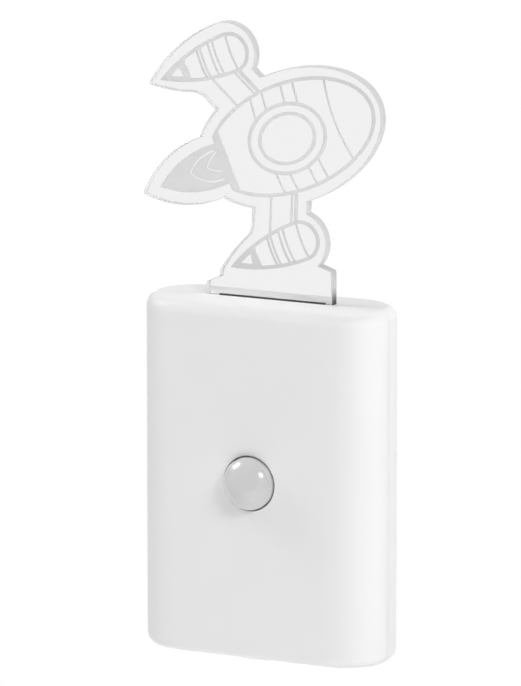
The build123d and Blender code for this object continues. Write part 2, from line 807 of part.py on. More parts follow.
# ---------------------------------------------------------------- plug
def blade(side):
    """Plug blade with its shoulder, solder tab and tip hole."""
    tip = blade_length
    profile = Polyline(
        (0, blade_width / 2), (tip - blade_tip, blade_width / 2), (tip, blade_width / 2 - blade_tip),
        (tip, -blade_width / 2 + blade_tip), (tip - blade_tip, -blade_width / 2), (0, -blade_width / 2),
        close=True)
    flat = extrude(Plane.YZ * make_face(profile), blade_thickness / 2, both=True)
    thick = centred(0, blade_thickness)
    flat += block(thick, (rear_inside, 0), centred(0, blade_width))
    flat += block(thick, (rear_inside - blade_shoulder, rear_inside), centred(0, blade_shoulder_width))
    flat += block(thick, (clamp_front - blade_tab_reach, rear_inside - blade_shoulder),
                  centred(0, blade_tab_width))
    hole = Pos(0, blade_hole_reach, 0) * Rot(0, 90, 0) * Cylinder(blade_hole_radius, 2 * blade_thickness)
    eyelet = Pos(0, clamp_front - blade_tab_reach / 2, 0) * Rot(0, 90, 0) * Cylinder(0.8, 2 * blade_thickness)
    return Pos(side * blade_spacing / 2, 0, 0) * (flat - hole - eyelet)


def blade_clamp():
    """Plate that holds the shoulders of the blades against the rear wall."""
    plate = block(centred(0, clamp_size[0]), (clamp_front, clamp_front + clamp_size[1]),
                  centred(0, clamp_size[2]))
    plate = fillet(plate.edges().filter_by(Axis.Y), 2.0)
    for side in (-1, 1):
        plate -= block(centred(side * blade_spacing / 2, blade_thickness + 2 * seat_gap), (-depth, 0),
                       centred(0, blade_tab_width + 2 * seat_gap))
        plate -= rod(small_screw_radius + head_gap, side * clamp_screw_reach, 0, clamp_front - 1, 0)
    return plate


def supply_wire(side):
    """Wire from a blade's solder tab to the main board."""
    x = side * (blade_spacing / 2 + blade_thickness / 2 + wire_radius + screw_gap)
    y = clamp_front - blade_tab_reach / 2
    return wire(wire_radius, (x, y, 0), (x, y, -wire_drop), (x, board_rear, -wire_drop), wire_bend)


# ---------------------------------------------------------------- screws
def case_screws():
    """Four long screws from the back into the front shell."""
    part = screw(case_screw_radius, case_screw_length, case_head_radius, case_head_height)
    turned = Rot(0, 0, 180) * (part - cross_recess(case_head_radius, case_head_height))
    return Compound(children=[
        Pos(x, -case_head_depth, z) * turned for x, z in screw_places(case_screw_x, case_screw_z)])


def board_screws():
    """Four screws through the main board into the front shell."""
    length = board_thickness + small_screw_grip
    turned = Rot(0, 0, 180) * screw(small_screw_radius, length, small_head_radius, small_head_height)
    return Compound(children=[Pos(x, board_rear, z) * turned for x, z in board_screw_places()])


def holder_screws():
    """Two screws through the ears of the panel holder."""
    rear = holder_rear_y()
    reach = min(small_screw_grip, -rear - wall / 2 - tip_gap)
    part = screw(small_screw_radius, ear_thickness + reach, small_head_radius, small_head_height)
    return Compound(children=[Pos(x, rear - ear_thickness, z) * part for x, z in holder_screw_places()])


def clamp_screws():
    """Two screws through the blade clamp into the rear shell."""
    length = clamp_size[1] + blade_shoulder + wall - clamp_skin - tip_gap
    part = screw(small_screw_radius, length, small_head_radius, small_head_height)
    return Compound(children=[
        Pos(side * clamp_screw_reach, clamp_front, 0) * part for side in (-1, 1)])


def nodes():
    """Every piece under its node's name."""
    return {
        "front_shell": front_shell(),
        "rear_shell": rear_shell(),
        "rocket_panel": rocket_panel(),
        "panel_holder": panel_holder(),
        "led_board": led_board(),
        "leds": leds(),
        "light_wires": light_wires(),
        "pir_lens": pir_lens(),
        "lens_collar": lens_collar(),
        "pir_can": pir_can(),
        "pir_window": pir_window(),
        "pir_leads": pir_leads(),
        "dusk_sensor": dusk_sensor(),
        "main_board": main_board(),
        "film_capacitor": film_capacitor(),
        "smoothing_capacitor": smoothing_capacitor(),
        "capacitor_leads": capacitor_leads(),
        "bridge_rectifier": bridge_rectifier(),
        "fuse_resistor": fuse_resistor(),
        "fuse_leads": fuse_leads(),
        "control_chip": control_chip(),
        "chip_resistors": chip_resistors(),
        "switch_body": switch_body(),
        "switch_slider": switch_slider(),
        "switch_knob": switch_knob(),
        "switch_pins": switch_pins(),
        "blade_left": blade(-1),
        "blade_right": blade(1),
        "blade_clamp": blade_clamp(),
        "supply_wire_left": supply_wire(-1),
        "supply_wire_right": supply_wire(1),
        "case_screws": case_screws(),
        "board_screws": board_screws(),
        "holder_screws": holder_screws(),
        "clamp_screws": clamp_screws(),
    }


os.makedirs("parts", exist_ok=True)
for name, shape in nodes().items():
    export_step(shape, f"parts/{name}.step")
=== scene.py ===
"""Looks of a plug-in night light: satin case, engraved acrylic rocket, sensor dome, knob and plug.

Sizes are millimetres in the fields and are turned to metres where a mesh is made. The frame is the
construction's own: the origin is the middle of the flat back, +Y points into the wall and +Z is up.
"""
import json
import logging
from dataclasses import dataclass, field
from enum import Enum, IntEnum
from math import asin, atan2, cos, hypot, pi, radians, sin, sqrt, tan
from typing import Any, Iterable, Sequence

import bmesh
import bpy
from mathutils import Matrix, Vector
from mathutils.geometry import delaunay_2d_cdt


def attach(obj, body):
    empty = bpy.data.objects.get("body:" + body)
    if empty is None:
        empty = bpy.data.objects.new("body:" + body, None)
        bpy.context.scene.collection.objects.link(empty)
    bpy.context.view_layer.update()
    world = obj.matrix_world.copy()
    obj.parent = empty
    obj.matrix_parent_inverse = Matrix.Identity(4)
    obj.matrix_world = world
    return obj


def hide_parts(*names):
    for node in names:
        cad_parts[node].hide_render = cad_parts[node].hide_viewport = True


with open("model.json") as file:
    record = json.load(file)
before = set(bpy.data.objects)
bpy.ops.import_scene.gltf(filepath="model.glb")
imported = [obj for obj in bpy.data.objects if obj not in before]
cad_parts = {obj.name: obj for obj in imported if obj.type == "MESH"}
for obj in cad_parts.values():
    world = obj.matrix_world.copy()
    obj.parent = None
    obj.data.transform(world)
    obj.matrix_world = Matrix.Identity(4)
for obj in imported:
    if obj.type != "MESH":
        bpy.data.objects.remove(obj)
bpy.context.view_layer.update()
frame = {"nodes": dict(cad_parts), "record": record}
LOG = logging.getLogger("night_light")
MM = 0.001
WELD = 1e-7                     # metres within which two vertices are one
IN_PLANE = 1e-6                 # metres off a plane within which a vertex lies in it
OVERSHOOT = 1.0                 # millimetres by which a cutter stands out of what it cuts
WHITE = (1.0, 1.0, 1.0, 1.0)
Point2 = tuple[float, float]


# ------------------------------------------------------------------ colours and nodes
def linear(hex_colour: str) -> tuple[float, float, float, float]:
    """Turn an sRGB hex colour into linear RGBA.

    Args:
        hex_colour: Six hex digits after a hash.

    Returns:
        The colour as Blender's sockets take it.
    """
    channels = [int(hex_colour[i:i + 2], 16) / 255 for i in (1, 3, 5)]
    lit = [c / 12.92 if c <= 0.04045 else ((c + 0.055) / 1.055) ** 2.4 for c in channels]
    return (lit[0], lit[1], lit[2], 1.0)


def add_node(tree: bpy.types.NodeTree, kind: str, inputs: dict[Any, Any] | None = None,
             **settings: Any) -> bpy.types.Node:
    """Add a node with its settings and links.

    Args:
        tree: Tree that the node joins.
        kind: Blender's name of the node's type.
        inputs: Values or source sockets by input name or number, a list of sockets for an input
            that takes several.
        **settings: Properties of the node, set before its inputs.

    Returns:
        The new node.
    """
    node = tree.nodes.new(kind)
    for name, value in settings.items():
        setattr(node, name, value)
    for key, given in (inputs or {}).items():
        for value in given if isinstance(given, list) else [given]:
            if isinstance(value, bpy.types.NodeSocket):
                tree.links.new(value, node.inputs[key])
            else:
                node.inputs[key].default_value = value
    return node


def per_metre(size_mm: float) -> float:
    """Texture scale at which one cell of a pattern has this size."""
    return 1.0 / (size_mm * MM)


# ------------------------------------------------------------------ finishes
MIX_FACTOR, MIX_A, MIX_B, MIX_RESULT = 0, 6, 7, 2     # colour sockets of the Mix node
GRAIN_OCTAVES = 4.0


@dataclass(frozen=True)
class Finish:
    """A real material and how its surface was made.

    This base class is a moulded, cast or drawn solid: a slow, faint change of tone and gloss over its
    surface, and the fine grain that its tool left.
    """

    name: str
    colour: str
    roughness: float = 0.45
    tone: float = 0.03              # share by which the darker patches are darker
    tone_mm: float = 22.0
    rough_change: float = 0.05
    grain_mm: float = 0.6
    grain_depth: float = 0.004      # millimetres
    stretch: tuple[float, float, float] = (1.0, 1.0, 1.0)   # under 1 draws the grain out along an axis
    metallic: float = 0.0
    ior: float = 1.5
    transmission: float = 0.0
    coat: float = 0.0
    coat_roughness: float = 0.1
    subsurface_mm: float = 0.0

    def material(self) -> bpy.types.Material:
        """Build the material, or give it again if it is there.

        Returns:
            The material of this finish.
        """
        ready = bpy.data.materials.get(f"{self.name}_finish")
        if ready is None:
            ready = bpy.data.materials.new(f"{self.name}_finish")
            ready.use_nodes = True
            ready.node_tree.nodes.clear()
            self.wire_up(ready.node_tree)
        return ready

    def wire_up(self, tree: bpy.types.NodeTree) -> None:
        """Link coordinates, pattern, shader and output.

        Args:
            tree: Empty tree of the material.
        """
        place = add_node(tree, "ShaderNodeTexCoord").outputs["Object"]
        shader = self.shader(tree, self.colour_of(tree, place), place)
        add_node(tree, "ShaderNodeOutputMaterial", {"Surface": shader.outputs[0]})

    def noise(self, tree: bpy.types.NodeTree, place: bpy.types.NodeSocket, size_mm: float,
              detail: float = 2.0) -> bpy.types.NodeSocket:
        """Noise whose cells have a real size, drawn out along the tool's direction.

        Args:
            tree: Tree of the material.
            place: Object coordinates.
            size_mm: Size of a cell.
            detail: Octaves of finer noise.

        Returns:
            The factor's socket.
        """
        drawn = add_node(tree, "ShaderNodeMapping", {"Vector": place, "Scale": self.stretch})
        return add_node(tree, "ShaderNodeTexNoise", {
            "Vector": drawn.outputs[0], "Scale": per_metre(size_mm), "Detail": detail}).outputs["Fac"]

    def colour_of(self, tree: bpy.types.NodeTree,
                  place: bpy.types.NodeSocket) -> bpy.types.NodeSocket:
        """Base colour with its slow change of tone.

        Args:
            tree: Tree of the material.
            place: Object coordinates.

        Returns:
            The colour's socket.
        """
        full = linear(self.colour)
        dim = tuple(c * (1 - self.tone) for c in full[:3]) + (1.0,)
        mix = add_node(tree, "ShaderNodeMix", {
            MIX_FACTOR: self.noise(tree, place, self.tone_mm), MIX_A: full, MIX_B: dim},
            data_type="RGBA")
        return mix.outputs[MIX_RESULT]

    def shader(self, tree: bpy.types.NodeTree, colour: bpy.types.NodeSocket,
               place: bpy.types.NodeSocket) -> bpy.types.Node:
        """Principled shader with the grain in its gloss and its bump.

        Args:
            tree: Tree of the material.
            colour: Base colour.
            place: Object coordinates.

        Returns:
            The shader node.
        """
        grain = self.noise(tree, place, self.grain_mm, GRAIN_OCTAVES)
        gloss = add_node(tree, "ShaderNodeMapRange", {
            "Value": grain, "To Min": max(self.roughness - self.rough_change, 0.0),
            "To Max": self.roughness + self.rough_change})
        bump = add_node(tree, "ShaderNodeBump", {
            "Height": grain, "Strength": 1.0, "Distance": self.grain_depth * MM})
        shader = add_node(tree, "ShaderNodeBsdfPrincipled", {
            "Base Color": colour, "Roughness": gloss.outputs[0], "Normal": bump.outputs[0],
            "Metallic": self.metallic, "Transmission Weight": self.transmission,
            "Coat Weight": self.coat, "Coat Roughness": self.coat_roughness})
        if not self.metallic:
            shader.inputs["IOR"].default_value = self.ior
        if self.subsurface_mm:
            shader.inputs["Subsurface Weight"].default_value = 1.0
            shader.inputs["Subsurface Radius"].default_value = (1.0, 1.0, 1.0)
            shader.inputs["Subsurface Scale"].default_value = self.subsurface_mm * MM
        return shader


@dataclass(frozen=True)
class TwoTone(Finish):
    """A finish with a second colour in places."""

    second: str = "#FFFFFF"

    def where_second(self, tree: bpy.types.NodeTree,
                     place: bpy.types.NodeSocket) -> bpy.types.NodeSocket:
        """Factor that is 1 where the second colour shows and 0 elsewhere."""
        raise NotImplementedError

    def colour_of(self, tree: bpy.types.NodeTree,
                  place: bpy.types.NodeSocket) -> bpy.types.NodeSocket:
        """Base colour, or the second one in its places.

        Args:
            tree: Tree of the material.
            place: Object coordinates.

        Returns:
            The colour's socket.
        """
        mix = add_node(tree, "ShaderNodeMix", {
            MIX_FACTOR: self.where_second(tree, place), MIX_A: super().colour_of(tree, place),
            MIX_B: linear(self.second)}, data_type="RGBA")
        return mix.outputs[MIX_RESULT]


@dataclass(frozen=True)
class MaskedBoard(TwoTone):
    """Circuit board: solder mask over copper tracks, which are lighter."""

    second: str = "#2F8A4C"
    track_pitch_mm: float = 3.1
    track_share: float = 0.16       # half breadth of a track, as a share of the pitch

    def where_second(self, tree: bpy.types.NodeTree,
                     place: bpy.types.NodeSocket) -> bpy.types.NodeSocket:
        """Tracks along the edges of large square cells.

        Args:
            tree: Tree of the material.
            place: Object coordinates.

        Returns:
            The factor's socket.
        """
        cells = add_node(tree, "ShaderNodeTexVoronoi", {
            "Vector": place, "Scale": per_metre(self.track_pitch_mm)},
            distance="CHEBYCHEV", feature="DISTANCE_TO_EDGE")
        edge = add_node(tree, "ShaderNodeMath", {0: cells.outputs["Distance"], 1: self.track_share},
                        operation="LESS_THAN")
        return edge.outputs[0]


@dataclass(frozen=True)
class LedPackage(TwoTone):
    """White moulded package with a round well of yellow phosphor gel, one for each emitter."""

    second: str = "#F4D35A"
    pitch_mm: float = 6.9
    well_mm: float = 1.15           # radius
    axis_y: float = -13.0

    def where_second(self, tree: bpy.types.NodeTree,
                     place: bpy.types.NodeSocket) -> bpy.types.NodeSocket:
        """Circle about each emitter's own axis.

        Args:
            tree: Tree of the material.
            place: Object coordinates.

        Returns:
            The factor's socket.
        """
        parts = add_node(tree, "ShaderNodeSeparateXYZ", {0: place})
        half = self.pitch_mm * MM / 2
        along = add_node(tree, "ShaderNodeMath", {0: parts.outputs["X"], 1: half, 2: -half},
                         operation="WRAP")
        across = add_node(tree, "ShaderNodeMath", {0: parts.outputs["Y"], 1: self.axis_y * MM},
                          operation="SUBTRACT")
        flat = add_node(tree, "ShaderNodeCombineXYZ", {0: along.outputs[0], 1: across.outputs[0]})
        reach = add_node(tree, "ShaderNodeVectorMath", {0: flat.outputs[0]}, operation="LENGTH")
        inside = add_node(tree, "ShaderNodeMath", {0: reach.outputs["Value"], 1: self.well_mm * MM},
                          operation="LESS_THAN")
        return inside.outputs[0]


@dataclass(frozen=True)
class StripedSleeve(TwoTone):
    """Shrink sleeve of an electrolytic capacitor with the pale stripe of its negative side."""

    second: str = "#B9BDC6"
    stripe_from: float = 1.0        # millimetres off the capacitor's axis, along X
    axis_x: float = 0.0

    def where_second(self, tree: bpy.types.NodeTree,
                     place: bpy.types.NodeSocket) -> bpy.types.NodeSocket:
        """One side of the sleeve.

        Args:
            tree: Tree of the material.
            place: Object coordinates.

        Returns:
            The factor's socket.
        """
        parts = add_node(tree, "ShaderNodeSeparateXYZ", {0: place})
        side = add_node(tree, "ShaderNodeMath", {
            0: parts.outputs["X"], 1: (self.axis_x + self.stripe_from) * MM},
            operation="GREATER_THAN")
        return side.outputs[0]


@dataclass(frozen=True)
class ClearSheet(Finish):
    """Polished faces of a clear sheet, which cast only a faint shadow."""

    passes: float = 0.92            # share of a lamp's light that one face lets through

    def shader(self, tree: bpy.types.NodeTree, colour: bpy.types.NodeSocket,
               place: bpy.types.NodeSocket) -> bpy.types.Node:
        """Principled shader that is transparent to rays that look for a lamp.

        Args:
            tree: Tree of the material.
            colour: Base colour.
            place: Object coordinates.

        Returns:
            The node that mixes the two.
        """
        surface = super().shader(tree, colour, place)
        path = add_node(tree, "ShaderNodeLightPath")
        share = add_node(tree, "ShaderNodeMath", {
            0: path.outputs["Is Shadow Ray"], 1: self.passes}, operation="MULTIPLY")
        clear = add_node(tree, "ShaderNodeBsdfTransparent")
        return add_node(tree, "ShaderNodeMixShader", {
            0: share.outputs[0], 1: surface.outputs[0], 2: clear.outputs[0]})


@dataclass(frozen=True)
class EdgeWithSlotShade(Finish):
    """Cut edge of a clear sheet.

    It scatters light through as well as back, and its lowest part has painted shade: the dark of the
    slot is painted into its colour, more so toward the end that faces the room.
    """

    # painted shade: the dark of the slot, painted into the edge's colour low down
    slot_shade_colour: str = "#55565A"
    slot_shade_full_z: float = 43.2            # height up to which the edge is all painted shade
    slot_shade_end_z: float = 47.7           # height from which it has its own colour
    tilt: float = 0.12              # rise of both heights along X
    through: float = 0.5            # share of the light that goes on into the sheet

    def colour_of(self, tree: bpy.types.NodeTree,
                  place: bpy.types.NodeSocket) -> bpy.types.NodeSocket:
        """Painted shade of the slot low down, rising to the plain colour of the edge.

        Args:
            tree: Tree of the material.
            place: Object coordinates.

        Returns:
            The colour's socket.
        """
        parts = add_node(tree, "ShaderNodeSeparateXYZ", {0: place})
        level = add_node(tree, "ShaderNodeMath", {
            0: parts.outputs["X"], 1: -self.tilt, 2: parts.outputs["Z"]}, operation="MULTIPLY_ADD")
        rise = add_node(tree, "ShaderNodeMapRange", {
            "Value": level.outputs[0], "From Min": self.slot_shade_full_z * MM, "From Max": self.slot_shade_end_z * MM},
            interpolation_type="SMOOTHSTEP")
        mix = add_node(tree, "ShaderNodeMix", {
            MIX_FACTOR: rise.outputs[0], MIX_A: linear(self.slot_shade_colour),
            MIX_B: super().colour_of(tree, place)}, data_type="RGBA")
        return mix.outputs[MIX_RESULT]

    def shader(self, tree: bpy.types.NodeTree, colour: bpy.types.NodeSocket,
               place: bpy.types.NodeSocket) -> bpy.types.Node:
        """Principled shader that lets a share of the light through, scattered.

        Args:
            tree: Tree of the material.
            colour: Base colour.
            place: Object coordinates.

        Returns:
            The node that mixes the two.
        """
        surface = super().shader(tree, colour, place)
        beyond = add_node(tree, "ShaderNodeBsdfTranslucent", {"Color": colour})
        return add_node(tree, "ShaderNodeMixShader", {
            0: self.through, 1: surface.outputs[0], 2: beyond.outputs[0]})


# ABS from an eroded mould: satin, with a grain much finer than a millimetre, drawn coarser so that it
# shows, and light that goes in a little and rounds off the shading.
WHITE_ABS = Finish("white_abs", "#F1F1F1", roughness=0.5, tone=0.012, grain_mm=0.45,
                   grain_depth=0.0025, subsurface_mm=0.6)
# Cast acrylic, polished: no grain, only the slow wave of a cast face, and a faint grey in it.
CLEAR_ACRYLIC = ClearSheet("clear_acrylic", "#F0F0F0", roughness=0.0, tone=0.004, rough_change=0.0,
                           grain_mm=9.0, grain_depth=0.0004, ior=1.49, transmission=1.0)
# Acrylic cut by laser: a slightly milky edge with fine ridges across it, and painted shade of the slot
# on its lowest part.
CUT_EDGE = EdgeWithSlotShade("acrylic_cut_edge", "#DDDDDD", roughness=0.14, tone=0.03,
                        rough_change=0.04, grain_mm=0.3, grain_depth=0.0015,
                        stretch=(1.0, 0.1, 1.0), ior=1.49)
# Its arrises are a matt line round both faces.
ARRIS = Finish("acrylic_arris", "#DADADA", roughness=0.5, tone=0.05, grain_mm=0.3,
               grain_depth=0.004, ior=1.49, transmission=0.25)
# Engraved acrylic is a field of tiny pits: matt, and a soft grey against the light behind it.
ENGRAVED = Finish("engraved_acrylic", "#CFCFCF", roughness=0.6, tone=0.03, grain_mm=0.25,
                  grain_depth=0.02, ior=1.49, transmission=0.6)
# Black matt lining in a groove of the slot, as painted shade: a dark line that stands for the slot's
# shadow, with fine cells and without any gloss.
SHADE_LINING = Finish("painted_shade_lining", "#161617", roughness=0.9, tone=0.2, tone_mm=1.0, grain_mm=0.3,
                    grain_depth=0.05)
# Moulded polyethylene of the lens: milky right through and glossy outside.
LENS_PE = Finish("lens_pe", "#EDEDED", roughness=0.3, tone=0.02, tone_mm=5.0, grain_mm=0.4,
                 grain_depth=0.001, ior=1.5, transmission=0.32, coat=1.0, coat_roughness=0.15)
# Moulded nylon: duller than ABS, and the white one warm, with light that goes in a little.
WHITE_NYLON = Finish("white_nylon", "#E8E8E3", roughness=0.55, grain_depth=0.006, subsurface_mm=0.5)
BLACK_NYLON = Finish("black_nylon", "#1B1B1D", roughness=0.5, tone=0.2, grain_depth=0.006)
# Glass-fibre board under glossy green lacquer, on which the copper shows as lighter tracks.
GREEN_BOARD = MaskedBoard("green_board", "#1C6B3A", roughness=0.28, coat=0.4)
# Aluminium-core board under satin white lacquer.
WHITE_BOARD = Finish("white_board", "#EFEFEC", roughness=0.35, grain_mm=0.3)
# White moulded packages, fairly glossy, with a yellow spot of phosphor each.
LED_PACKAGE = LedPackage("led_package", "#F2F1EC", roughness=0.3)
# Extruded PVC: smooth, half glossy and unevenly tinted.
WIRE_RED = Finish("wire_red", "#B5211C", roughness=0.4, tone=0.08, tone_mm=4.0)
WIRE_BLACK = Finish("wire_black", "#1A1A1B", roughness=0.4, tone=0.15, tone_mm=4.0)
# Deep-drawn steel with a bright, slightly warm nickel plate.
NICKEL_CAN = Finish("nickel_can", "#C9C7C1", roughness=0.22, tone=0.05, tone_mm=3.0, metallic=1.0,
                    grain_mm=0.2, grain_depth=0.001)
# Coated silicon: a dark, nearly flawless mirror with a brown cast.
FILTER_GLASS = Finish("filter_glass", "#2A2024", roughness=0.08, tone=0.2, tone_mm=2.0,
                      rough_change=0.02, grain_depth=0.0005, coat=1.0)
# Tinned copper wire: bright but softly blurred.
TINNED_LEAD = Finish("tinned_lead", "#C6C6C4", roughness=0.32, metallic=1.0, grain_mm=0.2)
# Cast epoxy: water clear with rounded, glossy edges.
CLEAR_EPOXY = Finish("clear_epoxy", "#EFEFEA", roughness=0.05, ior=1.55, transmission=0.9,
                     rough_change=0.02)
# Moulded box of a film capacitor, an opaque half-gloss yellow.
YELLOW_BOX = Finish("yellow_box", "#D8A52B", roughness=0.35, tone=0.05)
# Shrunk PVC sleeve: smooth, nearly black blue with a pale stripe.
CAN_SLEEVE = StripedSleeve("can_sleeve", "#1D2030", roughness=0.3, axis_x=6.6)
# Transfer-moulded epoxy with mineral filler: matt, slightly grey and speckled.
BLACK_EPOXY = Finish("black_epoxy", "#202022", roughness=0.6, tone=0.15, tone_mm=2.0, grain_mm=0.2,
                     grain_depth=0.008)
# Flameproof lacquer of a resistor: chalky grey-green.
GREY_COAT = Finish("grey_coat", "#6F8078", roughness=0.55, tone=0.1, tone_mm=2.0)
# Rolled brass with a nickel plate: a warm silver, its grain drawn out along the blade.
NICKEL_BRASS = Finish("nickel_brass", "#D6D2C6", roughness=0.24, tone=0.06, tone_mm=6.0,
                      metallic=1.0, grain_mm=0.35, grain_depth=0.003, stretch=(1.0, 0.08, 1.0))
# Zinc-plated steel: a cool, finely mottled silver.
ZINC_STEEL = Finish("zinc_steel", "#BFC2C6", roughness=0.3, tone=0.1, tone_mm=1.5, metallic=1.0,
                    grain_mm=0.2, grain_depth=0.002)

FINISH_OF_SLOT = {
    finish.name: finish for finish in (
        WHITE_ABS, CLEAR_ACRYLIC, WHITE_NYLON, GREEN_BOARD, WHITE_BOARD, LED_PACKAGE, WIRE_RED,
        WIRE_BLACK, LENS_PE, BLACK_NYLON, NICKEL_CAN, FILTER_GLASS, TINNED_LEAD, CLEAR_EPOXY,
        YELLOW_BOX, CAN_SLEEVE, BLACK_EPOXY, GREY_COAT, NICKEL_BRASS, ZINC_STEEL)
}


# ------------------------------------------------------------------ mesh making
def piece_of(bm: bmesh.types.BMesh, name: str) -> bpy.types.Object:
    """Turn a working mesh into an object of the scene, with its faces pointing outwards.

    Args:
        bm: Working mesh in metres; it is freed.
        name: Name of the piece.

    Returns:
        The new object.
    """
    bmesh.ops.remove_doubles(bm, verts=bm.verts, dist=WELD)
    bmesh.ops.recalc_face_normals(bm, faces=bm.faces)
    mesh = bpy.data.meshes.new(name)
    bm.to_mesh(mesh)
    bm.free()
    piece = bpy.data.objects.new(name, mesh)
    bpy.context.scene.collection.objects.link(piece)
    return piece


def loft(bm: bmesh.types.BMesh, rings: Sequence[Sequence[Sequence[float]]]) -> None:
    """Join rings of equally many points, in millimetres, into a closed skin with flat ends.

    Args:
        bm: Working mesh that gets the skin.
        rings: Rings in order.
    """
    rows = [[bm.verts.new(Vector(point) * MM) for point in ring] for ring in rings]
    count = len(rows[0])
    for low, high in zip(rows, rows[1:]):
        for i in range(count):
            j = (i + 1) % count
            bm.faces.new((low[i], low[j], high[j], high[i]))
    bm.faces.new(list(reversed(rows[0])))
    bm.faces.new(rows[-1])


def lathe(bm: bmesh.types.BMesh, profile: Sequence[Point2], centre: Point2, segments: int) -> None:
    """Turn a closed or pole-to-pole profile of (radius, y) about an axis along Y.

    Args:
        bm: Working mesh that gets the skin.
        profile: Points in millimetres; a radius of 0 is a pole.
        centre: X and Z of the axis.
        segments: Steps round the axis.
    """
    x0, z0 = centre
    rows = []
    for radius, y in profile:
        steps = segments if radius > 0 else 1
        rows.append([
            bm.verts.new(Vector((x0 + radius * cos(2 * pi * k / segments), y,
                                 z0 + radius * sin(2 * pi * k / segments))) * MM)
            for k in range(steps)])
    closed = profile[0][0] > 0
    pairs = list(zip(rows, rows[1:])) + ([(rows[-1], rows[0])] if closed else [])
    for low, high in pairs:
        for k in range(segments):
            corners = [low[k % len(low)], low[(k + 1) % len(low)], high[(k + 1) % len(high)],
                       high[k % len(high)]]
            bm.faces.new(list(dict.fromkeys(corners)))


def arc(centre: Point2, radius: float, start: float, end: float, steps: int) -> list[Point2]:
    """Arc between two angles in radians, both ends included.

    Args:
        centre: Its centre.
        radius: Its radius.
        start: First angle.
        end: Last angle.
        steps: Pieces of the arc.

    Returns:
        One point more than there are pieces.
    """
    return [(centre[0] + radius * cos(start + (end - start) * k / steps),
             centre[1] + radius * sin(start + (end - start) * k / steps)) for k in range(steps + 1)]


class Cut(Enum):
    """What a tool body does to a piece."""

    REMOVE = "DIFFERENCE"
    ADD = "UNION"
    KEEP = "INTERSECT"


def shape_with(piece: bpy.types.Object, tool: bpy.types.Object, cut: Cut) -> None:
    """Cut a tool body out of a piece, fuse it on or keep what lies in it, and throw the tool away.

    Args:
        piece: Piece whose mesh changes.
        tool: Closed body.
        cut: What the tool does.
    """
    modifier = piece.modifiers.new("tool", "BOOLEAN")
    modifier.operation = cut.value
    modifier.solver = "EXACT"
    modifier.object = tool
    settle(piece)
    bpy.data.objects.remove(tool)


def settle(piece: bpy.types.Object) -> None:
    """Apply every modifier of a piece to its mesh.

    Args:
        piece: Piece that keeps the result as a plain mesh.
    """
    bpy.context.view_layer.update()
    graph = bpy.context.evaluated_depsgraph_get()
    mesh = bpy.data.meshes.new_from_object(piece.evaluated_get(graph))
    piece.modifiers.clear()
    piece.data = mesh


def bevel(piece: bpy.types.Object, width_mm: float, segments: int = 2, angle: float = 40.0) -> None:
    """Round the sharp edges of a piece.

    Args:
        piece: Piece whose mesh changes.
        width_mm: Width of the rounding.
        segments: Faces across it.
        angle: Degrees between faces from which an edge is sharp.
    """
    modifier = piece.modifiers.new("edges", "BEVEL")
    modifier.width = width_mm * MM
    modifier.segments = segments
    modifier.limit_method = "ANGLE"
    modifier.angle_limit = radians(angle)
    settle(piece)


def finish_piece(piece: bpy.types.Object, finishes: Iterable[Finish], body: str, nodes: Iterable[str],
                 smooth_to: float = 30.0) -> bpy.types.Object:
    """Shade a piece, give it its materials, hang it on its body and let it stand for its nodes.

    Args:
        piece: Piece at the origin.
        finishes: Finishes in the order of its material slots, which its faces already refer to.
        body: Body that it rides on.
        nodes: Construction nodes that it replaces.
        smooth_to: Degrees between faces up to which an edge is shaded smooth.

    Returns:
        The same piece.
    """
    finishes = list(finishes)
    while piece.data.materials:
        piece.data.materials.pop()
    for finish in finishes:
        piece.data.materials.append(finish.material())
    piece.data.shade_smooth()
    piece.data.set_sharp_from_angle(angle=radians(smooth_to))
    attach(piece, body)
    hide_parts(*nodes)
    LOG.info("%s: %d faces", piece.name, len(piece.data.polygons))
    return piece


class Grower:
    """A Geometry Nodes tree with named sizes, whose result becomes a plain mesh."""

    def __init__(self, name: str) -> None:
        """Start an empty tree with its input and output.

        Args:
            name: Name of the tree.
        """
        self.tree = bpy.data.node_groups.new(name, "GeometryNodeTree")
        self.tree.interface.new_socket("Geometry", in_out="INPUT", socket_type="NodeSocketGeometry")
        self.tree.interface.new_socket("Geometry", in_out="OUTPUT", socket_type="NodeSocketGeometry")
        self.entry = add_node(self.tree, "NodeGroupInput")
        self.values: dict[str, Any] = {}

    def size(self, name: str, value: float | int) -> bpy.types.NodeSocket:
        """Add a named input and give its socket.

        Args:
            name: Name of the size.
            value: Its value, in metres where it is a length.

        Returns:
            The socket inside the tree.
        """
        kind = "NodeSocketInt" if isinstance(value, int) else "NodeSocketFloat"
        made = self.tree.interface.new_socket(name, in_out="INPUT", socket_type=kind)
        self.values[made.identifier] = value
        return self.entry.outputs[name]

    def node(self, kind: str, inputs: dict[Any, Any] | None = None,
             **settings: Any) -> bpy.types.NodeSocket:
        """Add a node and give its first output."""
        return add_node(self.tree, kind, inputs, **settings).outputs[0]

    def grow(self, piece: bpy.types.Object, geometry: bpy.types.NodeSocket,
             finish: Finish) -> bpy.types.Object:
        """Close the tree, run it on a piece and keep the result as the piece's plain mesh.

        Args:
            piece: Object whose own mesh is the tree's input geometry.
            geometry: Last socket of the shape.
            finish: Finish that the tree sets.

        Returns:
            The same piece.
        """
        whole = self.node("GeometryNodeRealizeInstances", {"Geometry": geometry})
        painted = self.node("GeometryNodeSetMaterial", {"Geometry": whole,
                                                        "Material": finish.material()})
        add_node(self.tree, "NodeGroupOutput", {0: painted})
        modifier = piece.modifiers.new("grow", "NODES")
        modifier.node_group = self.tree
        for identifier, value in self.values.items():
            modifier[identifier] = value
        settle(piece)
        return piece


# ------------------------------------------------------------------ case
class Half(Enum):
    """The two shells, by the side of the parting plane that they lie on."""

    FRONT = -1
    REAR = 1


